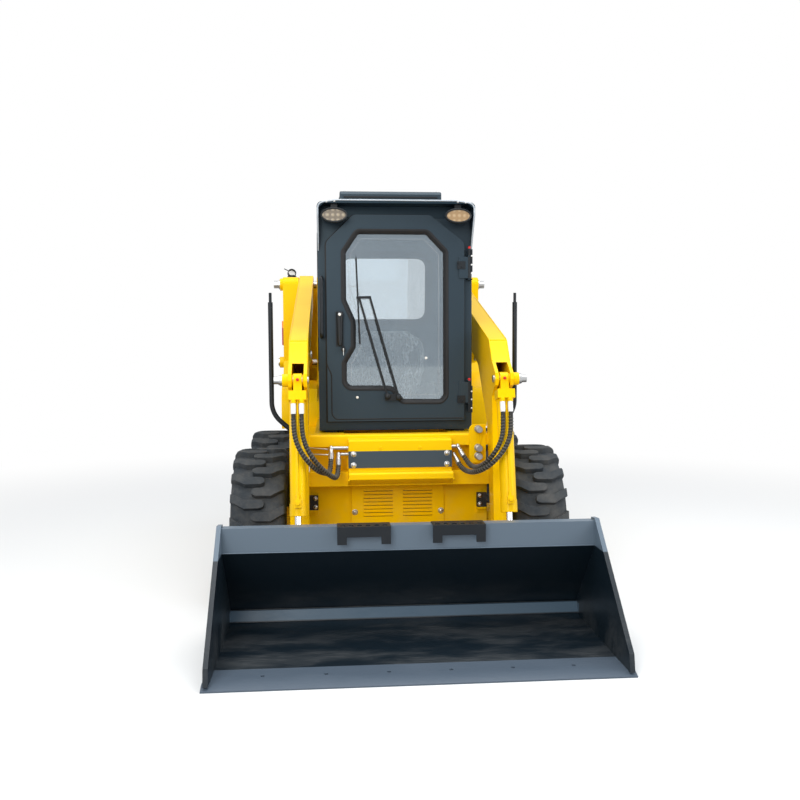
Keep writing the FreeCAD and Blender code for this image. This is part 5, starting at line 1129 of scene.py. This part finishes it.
class Seat:
    """Cushions puffed up by a cloth simulation, under a crumpled clear bag."""

    PADS = (
        Pad("seat_cushion", (0.95, 0.95, 0.78), 0.024, (("Y", 0.555), ("Y", 0.70)), 0.985),
        Pad("seat_back", (0.95, 0.78, 0.955), 0.024, (("Z", 1.18), ("Z", 1.29), ("Z", 1.40)), 0.0),
    )
    VOXEL = 0.0065
    FRAMES = 20
    # Half width of the bag at heights up the backrest, in metres.
    FLARE = ((1.04, 0.150), (1.10, 0.185), (1.152, 0.205), (1.26, 0.235), (1.366, 0.246), (1.44, 0.228),
             (1.475, 0.197), (1.50, 0.150), (1.56, 0.10))
    # Half width of the CAD back rest, and how far the pad stays inside the bag.
    HALF_BACK, INSET = 0.25, 0.016

    @classmethod
    def flare(cls, height: float) -> float:
        """The bag's half width at a height."""
        for (low, narrow), (high, wide) in zip(cls.FLARE, cls.FLARE[1:]):
            if height <= high:
                return narrow + (wide - narrow) * max(0.0, (height - low) / (high - low))
        return cls.FLARE[-1][1]

    def start(self, pad: Pad) -> bpy.types.Object:
        """The shrunk, rounded and evenly meshed shape that the simulation puffs up."""
        work = merged(pad.node)
        bmesh.ops.dissolve_limit(work, angle_limit=0.01, verts=work.verts, edges=work.edges)
        middle = sum((v.co for v in work.verts), Vector()) / len(work.verts)
        for vert in work.verts:
            away = vert.co - middle
            vert.co = middle + Vector([part * share for part, share in zip(away, pad.shrink)])
        bmesh.ops.bevel(work, geom=list(work.edges), offset=0.028, segments=4, profile=0.6, affect="EDGES")
        bmesh.ops.recalc_face_normals(work, faces=work.faces)
        rough = bpy.data.meshes.new(pad.node + "_start")
        work.to_mesh(rough)
        work.free()
        piece = bpy.data.objects.new(pad.node + "_start", rough)
        bpy.context.scene.collection.objects.link(piece)
        remesh = piece.modifiers.new("even", "REMESH")
        remesh.mode, remesh.voxel_size = "VOXEL", self.VOXEL
        even = bpy.data.meshes.new_from_object(piece.evaluated_get(bpy.context.evaluated_depsgraph_get()))
        piece.modifiers.clear()
        if pad.rests == 0.0:
            for vert in even.vertices:
                vert.co.x *= (self.flare(vert.co.z) - self.INSET) / self.HALF_BACK
        piece.data = even
        return piece

    def puff(self, piece: bpy.types.Object, pad: Pad) -> None:
        """Blow the shape up as cloth, holding what rests on the base and what the seams hold."""
        rest = [vert.co.copy() for vert in piece.data.vertices]
        held = piece.vertex_groups.new(name="held")
        still = [i for i, spot in enumerate(rest) if spot.z < pad.rests or self.sewn(spot, pad) > 0.8]
        held.add(still, 1.0, "REPLACE")
        cloth = piece.modifiers.new("puffed", "CLOTH")
        cloth.settings.use_pressure = True
        cloth.settings.uniform_pressure_force = 4.0
        cloth.settings.effector_weights.gravity = 0.0
        cloth.settings.vertex_group_mass = "held"
        cloth.settings.quality = 4
        for number in range(1, self.FRAMES + 1):
            bpy.context.scene.frame_set(number)
        done = bpy.data.meshes.new_from_object(piece.evaluated_get(bpy.context.evaluated_depsgraph_get()))
        for vert, spot in zip(done.vertices, rest):
            shift = vert.co - spot
            vert.co = spot + shift * min(1.0, pad.cap / max(shift.length, 1e-6))
        piece.modifiers.clear()
        piece.data = done
        bpy.context.scene.frame_set(1)

    @staticmethod
    def sewn(spot: Vector, pad: Pad) -> float:
        """How near a point is to a sewn channel, from 0 to 1."""
        near = [abs(getattr(spot, axis.lower()) - (place + (FRONT_AXLE_Y if axis == "Y" else 0.0)))
                for axis, place in pad.channels]
        return math.exp(-(min(near) / 0.007) ** 2)

    def cushion(self, pad: Pad) -> None:
        """One finished cushion with its channels pressed in."""
        piece = self.start(pad)
        self.puff(piece, pad)
        mesh = piece.data
        for vert in mesh.vertices:
            vert.co -= vert.normal * self.sewn(vert.co, pad) * 0.005
        name = pad.node + "_cover"
        bpy.data.objects.remove(piece)
        done = settle(mesh, name, SEAT, body_of(pad.node), node=pad.node, smooth=180)
        done.modifiers.new("finer", "SUBSURF").render_levels = 1
        done.modifiers["finer"].levels = 1

    def bag(self) -> None:
        """The clear bag over the backrest, crumpled down its length."""
        columns, rows = 230, 96
        shape = Shape()
        rings = []
        for row in range(rows + 1):
            up = row / rows
            fold = max(0.0, (up - 0.86) / 0.14) * math.pi / 2
            z = 1070 + 430 * min(up / 0.86, 1.0) + 22 * math.sin(fold)
            lean = 826 + 30 * (z - 1070) / 430
            ring = []
            for column in range(columns):
                a = math.tau * column / columns
                across = math.copysign(abs(math.cos(a)) ** 0.45, math.cos(a))
                depth = math.copysign(abs(math.sin(a)) ** 0.6, math.sin(a))
                narrow = 1.0 - 0.10 * (1 - math.cos(fold))
                seed = Vector((across * 5.0, depth * 1.6, up * 2.2))
                creases = 1.0 - abs(noise.noise(seed * 1.7)) * 2.2
                crumple = noise.noise(seed * 6.5) * 5.0 + noise.noise(seed * 17.0) * 2.2
                swell = creases * 7.0 + crumple
                wide = (self.flare(z / 1000) * 1000 + 10) * narrow
                ring.append(mm(across * (wide + swell * 0.7), lean + depth * (64 * math.cos(fold) + swell + 2), z
                               + crumple * 0.8))
            rings.append(ring)
        film = shape.skin(rings, caps=False).place("seat_film", FILM, "chassis", smooth=180)

    def build(self) -> None:
        """Both cushions, the bag and the levers' boots."""
        for pad in self.PADS:
            self.cushion(pad)
        self.bag()
        boots = Shape()
        for sign in (1, -1):
            rings = [(i * 0.006, 0.030 - 0.0015 * i + 0.003 * (i % 2)) for i in range(9)]
            boots.lathe(rings, mm(306.5 * sign, 440, 1181), Z, 24)
        boots.place("lever_boots", SEAL, "chassis")


class RoofTrim:
    """The visor's pale front rim, a painted highlight, bezels of the lamps, vents of the roof unit and the exhaust's
    outlet.
    """

    BEZEL = ((-0.002, -0.003), (-0.002, 0.003), (0.004, 0.0045), (0.0075, 0.002), (0.0075, -0.003))

    def visor(self) -> None:
        """The visor's front rim as a pale tube that paints its highlight, and the lamps' bezels."""
        # The rim is real; its pale colour is a painted highlight where the rim's top edge catches the light from
        # above.
        half = [mm(437, -2, 1964), mm(437, -119, 2148), mm(437, -121, 2158), mm(437, -121, 2184), mm(434, -121, 2197),
                mm(427, -121, 2208), mm(415, -121, 2215), mm(400, -121, 2219), mm(330, -121, 2228.5)]
        path = half + [Vector((-spot.x, spot.y, spot.z)) for spot in reversed(half)]
        Shape().tube(path, 0.0042, 8).place("visor_edging", PALE, "chassis")
        bezels = Shape()
        for sign in (1, -1):
            loop = [mm(347 * sign + 67 * math.cos(a), -119, 2146 + 34 * math.sin(a))
                    for a in (math.tau * i / 48 for i in range(48))]
            bezels.moulding(loop, -Y, self.BEZEL)
        bezels.place("lamp_bezels", PLASTIC, "chassis")

    def unit(self) -> None:
        """Slots round the roof unit and the fan guard on it."""
        vents = Shape()
        for row in range(4):
            z = 2252 + row * 22
            vents.block(mm(-285, 326, z), mm(285, 331, z + 10))
            for sign in (1, -1):
                low, high = sorted((sign * 309, sign * 314))
                vents.block(mm(low, 380, z), mm(high, 800, z + 10))
        fan = mm(0, 620, 2360)
        for radius in (0.06, 0.1, 0.14, 0.18):
            ring = [(0.0, radius), (0.004, radius), (0.004, radius + 0.005), (0.0, radius + 0.005)]
            vents.lathe(ring, fan, Z, 48, closed=True)
        for index in range(12):
            angle = math.pi * index / 6
            tip = fan + Vector((math.cos(angle), math.sin(angle), 0)) * 0.186
            vents.bar(fan + Z * 0.002, tip + Z * 0.002, 0.002, 6)
        vents.place("unit_vents", PLASTIC, "chassis", edge=0.001)

    def stack(self) -> None:
        """The exhaust stack's pipe, clamp and outlet."""
        stack, foot = Shape(), mm(-660, 1620, 1930)
        stack.lathe([(0.0, 0.030), (0.030, 0.030), (0.030, 0.026), (0.0, 0.026)], foot, Z, 32, closed=True)
        stack.lathe([(0.010, 0.0345), (0.022, 0.0345)], foot, Z, 32)
        mouth, face = mm(-660, 1612, 1975), Vector((0.25, -1.0, 0.35)).normalized()
        stack.lathe([(-0.012, 0.026), (-0.012, 0.032), (0.012, 0.032), (0.012, 0.026)], mouth, face, 32, closed=True)
        stack.bar(mm(-684, 1606, 1992), mm(-716, 1604, 2008), 0.0035, 8)
        stack.place("exhaust_stack_dressed", BLACK, "chassis", edge=0.0008, node="exhaust_stack")
        throat = Shape().lathe([(-0.011, 0.0255), (0.002, 0.0255)], mouth, face, 32)
        throat.place("exhaust_throat", CAST_BRIGHT, "chassis")

    def build(self) -> None:
        """Everything above the cab, and the mirror posts' flanges."""
        self.visor()
        self.unit()
        self.stack()
        flanges = Shape()
        for sign in (1, -1):
            flanges.lathe([(0.0, 0.045), (0.005, 0.045), (0.006, 0.043)], mm(580 * sign, 120, 870), Z, 32)
        flanges.place("post_flanges", BLACK, "chassis")


class ArmTrim:
    """Collars, caps, nuts and weld beads of the arms, the cylinders and the bucket."""

    def fittings(self) -> None:
        """Collars, grease caps, nuts, the couplers' rings and the steel lines."""
        collars, caps, nuts, knurls = Shape(), Shape(), Shape(), Shape()
        # The tilt cylinders lean this way at rest.
        aim = Vector((0, -200, -843)).normalized()
        for sign in (1, -1):
            collars.lathe([(0.0, 0.0205), (0.0, 0.025), (0.006, 0.025), (0.006, 0.0205)], mm(640.5 * sign, -400, 1243),
                          X * sign, 28, closed=True)
            caps.lathe([(-0.004, 0.008), (0.008, 0.008), (0.011, 0.005)], mm(547 * sign, -436, 1248), -Y, 18)
            for x in (526, 568):
                heel = mm(x * sign, -487, 1110.4)
                nuts.lathe([(-0.036, 0.0155), (-0.018, 0.0155), (-0.016, 0.014)], heel, aim, 6)
            nuts.lathe([(0.0, 0.0125), (0.024, 0.0125)], mm(547 * sign, -582, 665), aim, 6)
            nuts.lathe([(-0.002, 0.0115), (0.009, 0.0115), (0.010, 0.010)], mm(547 * sign, -607, 626),
                       Vector((0, -0.973, 0.231)), 6)
        for z in (960, 856, 811):
            for start, radius in ((2, 21), (24, 19), (34, 19), (44, 19)):
                knurls.lathe([(0.0, radius / 1000), (0.005, radius / 1000), (0.006, radius / 1000 - 0.0015)],
                             mm(437, -243 - start, z), -Y, 30)
        collars.place("pin_collars", ZINC, "arms")
        caps.place("grease_caps", RED, "arms")
        nuts.place("port_nuts", YELLOW, "tilt_barrels", edge=0.0008)
        knurls.place("coupler_rings", CAST_BRIGHT, "arms")
        pipes = Shape()
        for heel, mouth in (((-496, -258, 868), (-392, -285, 862)), ((-496, -262, 834), (-384, -285, 832))):
            pipes.bar(mm(*heel), mm(*mouth), 0.0042, 12)
        pipes.place("steel_lines", STEEL, "arms")

    def welds(self) -> None:
        """Weld beads of the arms."""
        welds = Shape()
        for sign in (1, -1):
            for start, end in (((285, -236.5, 748), (285, -236.5, 912)), ((496, -236, 872), (496, -236, 933)),
                               ((496, -266, 657), (496, -266, 733)), ((283, -270, 664), (283, -372, 705)),
                               ((495.5, -240, 935), (495.5, -152, 935))):
                welds.bead(mm(start[0] * sign, *start[1:]), mm(end[0] * sign, *end[1:]), 0.0045)
        spine = ((1380, 1911.5), (600, 1692), (-231, 1458.6), (-249, 1451), (-262, 1437.5), (-338, 1338))
        for x in (-594.5, -498.5, 498.5, 594.5):
            welds.tube([mm(x, y, z) for y, z in spine], 0.0032, 6)
        for low, high in ((-594, -499), (499, 594)):
            welds.bar(mm(low, -249, 1451), mm(high, -249, 1451), 0.0028, 8)
        welds.bead(mm(-282, -301, 745), mm(282, -301, 745), 0.004)
        welds.place("arm_welds", YELLOW, "arms", smooth=60)

    def bucket(self) -> None:
        """Weld beads of the bucket."""
        bowl = Shape()
        for sign in (1, -1):
            for start, end in (((899, -1240, 21), (899, -660, 47)), ((899, -624, 92), (899, -922, 452)),
                               ((899, -655, 48), (899, -624, 92))):
                bowl.bead(mm(start[0] * sign, *start[1:]), mm(end[0] * sign, *end[1:]), 0.0045)
        bowl.bead(mm(-898, -626, 92), mm(898, -626, 92), 0.0035).bead(mm(-898, -928, 455), mm(898, -928, 455), 0.0035)
        bowl.place("bucket_welds", BUCKET, "bucket", smooth=60)

    def build(self) -> None:
        """Everything small that moves with the arms and the bucket."""
        self.fittings()
        self.welds()
        self.bucket()


class Studio:
    """Pale floor, soft lights and the photograph's camera."""

    EYE = Vector((-0.368, -5.169, 1.410))
    YAW, PITCH, ROLL = math.radians(4.55), math.radians(3.82), math.radians(-0.30)
    FOCAL = 38.457
    LIFT = 0.00625

    def camera(self) -> None:
        """Look from the photograph's place."""
        data = bpy.data.cameras.new("photo_camera")
        data.lens, data.sensor_width, data.shift_y = self.FOCAL, 36.0, self.LIFT
        ahead = Vector((math.sin(self.YAW) * math.cos(self.PITCH), math.cos(self.YAW) * math.cos(self.PITCH),
                        -math.sin(self.PITCH)))
        right = Vector((math.cos(self.YAW), -math.sin(self.YAW), 0))
        over = right.cross(ahead)
        level = right * math.cos(self.ROLL) + over * math.sin(self.ROLL)
        upright = over * math.cos(self.ROLL) - right * math.sin(self.ROLL)
        eye = bpy.data.objects.new("photo_camera", data)
        eye.matrix_world = Matrix((level, upright, -ahead)).transposed().to_4x4()
        eye.location = self.EYE
        bpy.context.scene.collection.objects.link(eye)
        bpy.context.scene.camera = eye

    def light(self, name: str, where: Point, aim: Point, width: float, watts: float, tint: Colour) -> None:
        """A square soft light."""
        data = bpy.data.lights.new(name, "AREA")
        data.shape, data.size, data.energy, data.color = "SQUARE", width, watts, tint
        lamp = bpy.data.objects.new(name, data)
        lamp.matrix_world = (Vector(where) - Vector(aim)).to_track_quat("Z", "Y").to_matrix().to_4x4()
        lamp.location = where
        bpy.context.scene.collection.objects.link(lamp)

    def world(self) -> None:
        """White to the camera, softer as a light."""
        world = bpy.data.worlds.new("studio")
        bpy.context.scene.world = world
        recipe = Recipe(world)
        seen = recipe.node("Background", None, (1.0, 1.0, 1.0), 1.0)
        soft = recipe.node("Background", None, (0.93, 0.96, 1.0), 0.78)
        by_camera = recipe.node("LightPath", out="Is Camera Ray")
        recipe.close(recipe.node("MixShader", None, by_camera, soft, seen), "OutputWorld")

    def floor(self) -> None:
        """A wide pale floor that fades to white away from the machine."""
        recipe = Recipe(bpy.data.materials.new("studio_floor"))
        far = recipe.node("VectorMath", {"operation": "LENGTH"}, recipe.place, out="Value").smooth(2.2, 7.0)
        seen = recipe.node("LightPath", out="Is Camera Ray")
        tone = recipe.blend(seen, (0.48, 0.48, 0.48), (0.78, 0.78, 0.77))
        matt = recipe.node("BsdfPrincipled", None, Base_Color=tone, Roughness=0.6)
        white = recipe.node("Emission", None, (1.0, 1.0, 1.0), 1.0)
        mesh = bpy.data.meshes.new("studio_floor")
        work = bmesh.new()
        bmesh.ops.create_grid(work, x_segments=1, y_segments=1, size=60.0)
        work.to_mesh(mesh)
        work.free()
        mesh.materials.append(recipe.close(recipe.node("MixShader", None, far, matt, white)))
        ground = bpy.data.objects.new("studio_floor", mesh)
        bpy.context.scene.collection.objects.link(ground)

    def build(self) -> None:
        """Set the whole stage."""
        bpy.context.scene.view_settings.view_transform = "Standard"
        self.camera()
        self.world()
        self.floor()
        self.light("overhead_light", (0.0, -1.0, 6.0), (0, 0, 0.5), 5.0, 265.0, (0.97, 0.985, 1.0))
        self.light("key_light", (-2.6, -6.4, 3.6), (0, 0, 0.7), 3.2, 225.0, (1.0, 0.99, 0.97))
        self.light("fill_light", (5.0, -3.2, 2.6), (0, 0, 0.9), 3.0, 120.0, (0.94, 0.97, 1.0))


def main() -> None:
    """Dress the loader and set the stage."""
    logging.basicConfig(level=logging.INFO, format="%(name)s: %(message)s")
    Studio().build()
    for plates in PLATES:
        plates.build()
    Wheels().build()
    Hoses().build()
    Fasteners().build()
    Seals().build()
    DoorTrim().build()
    RoofTrim().build()
    ArmTrim().build()
    Seat().build()


if __name__ == "__main__":
    main()
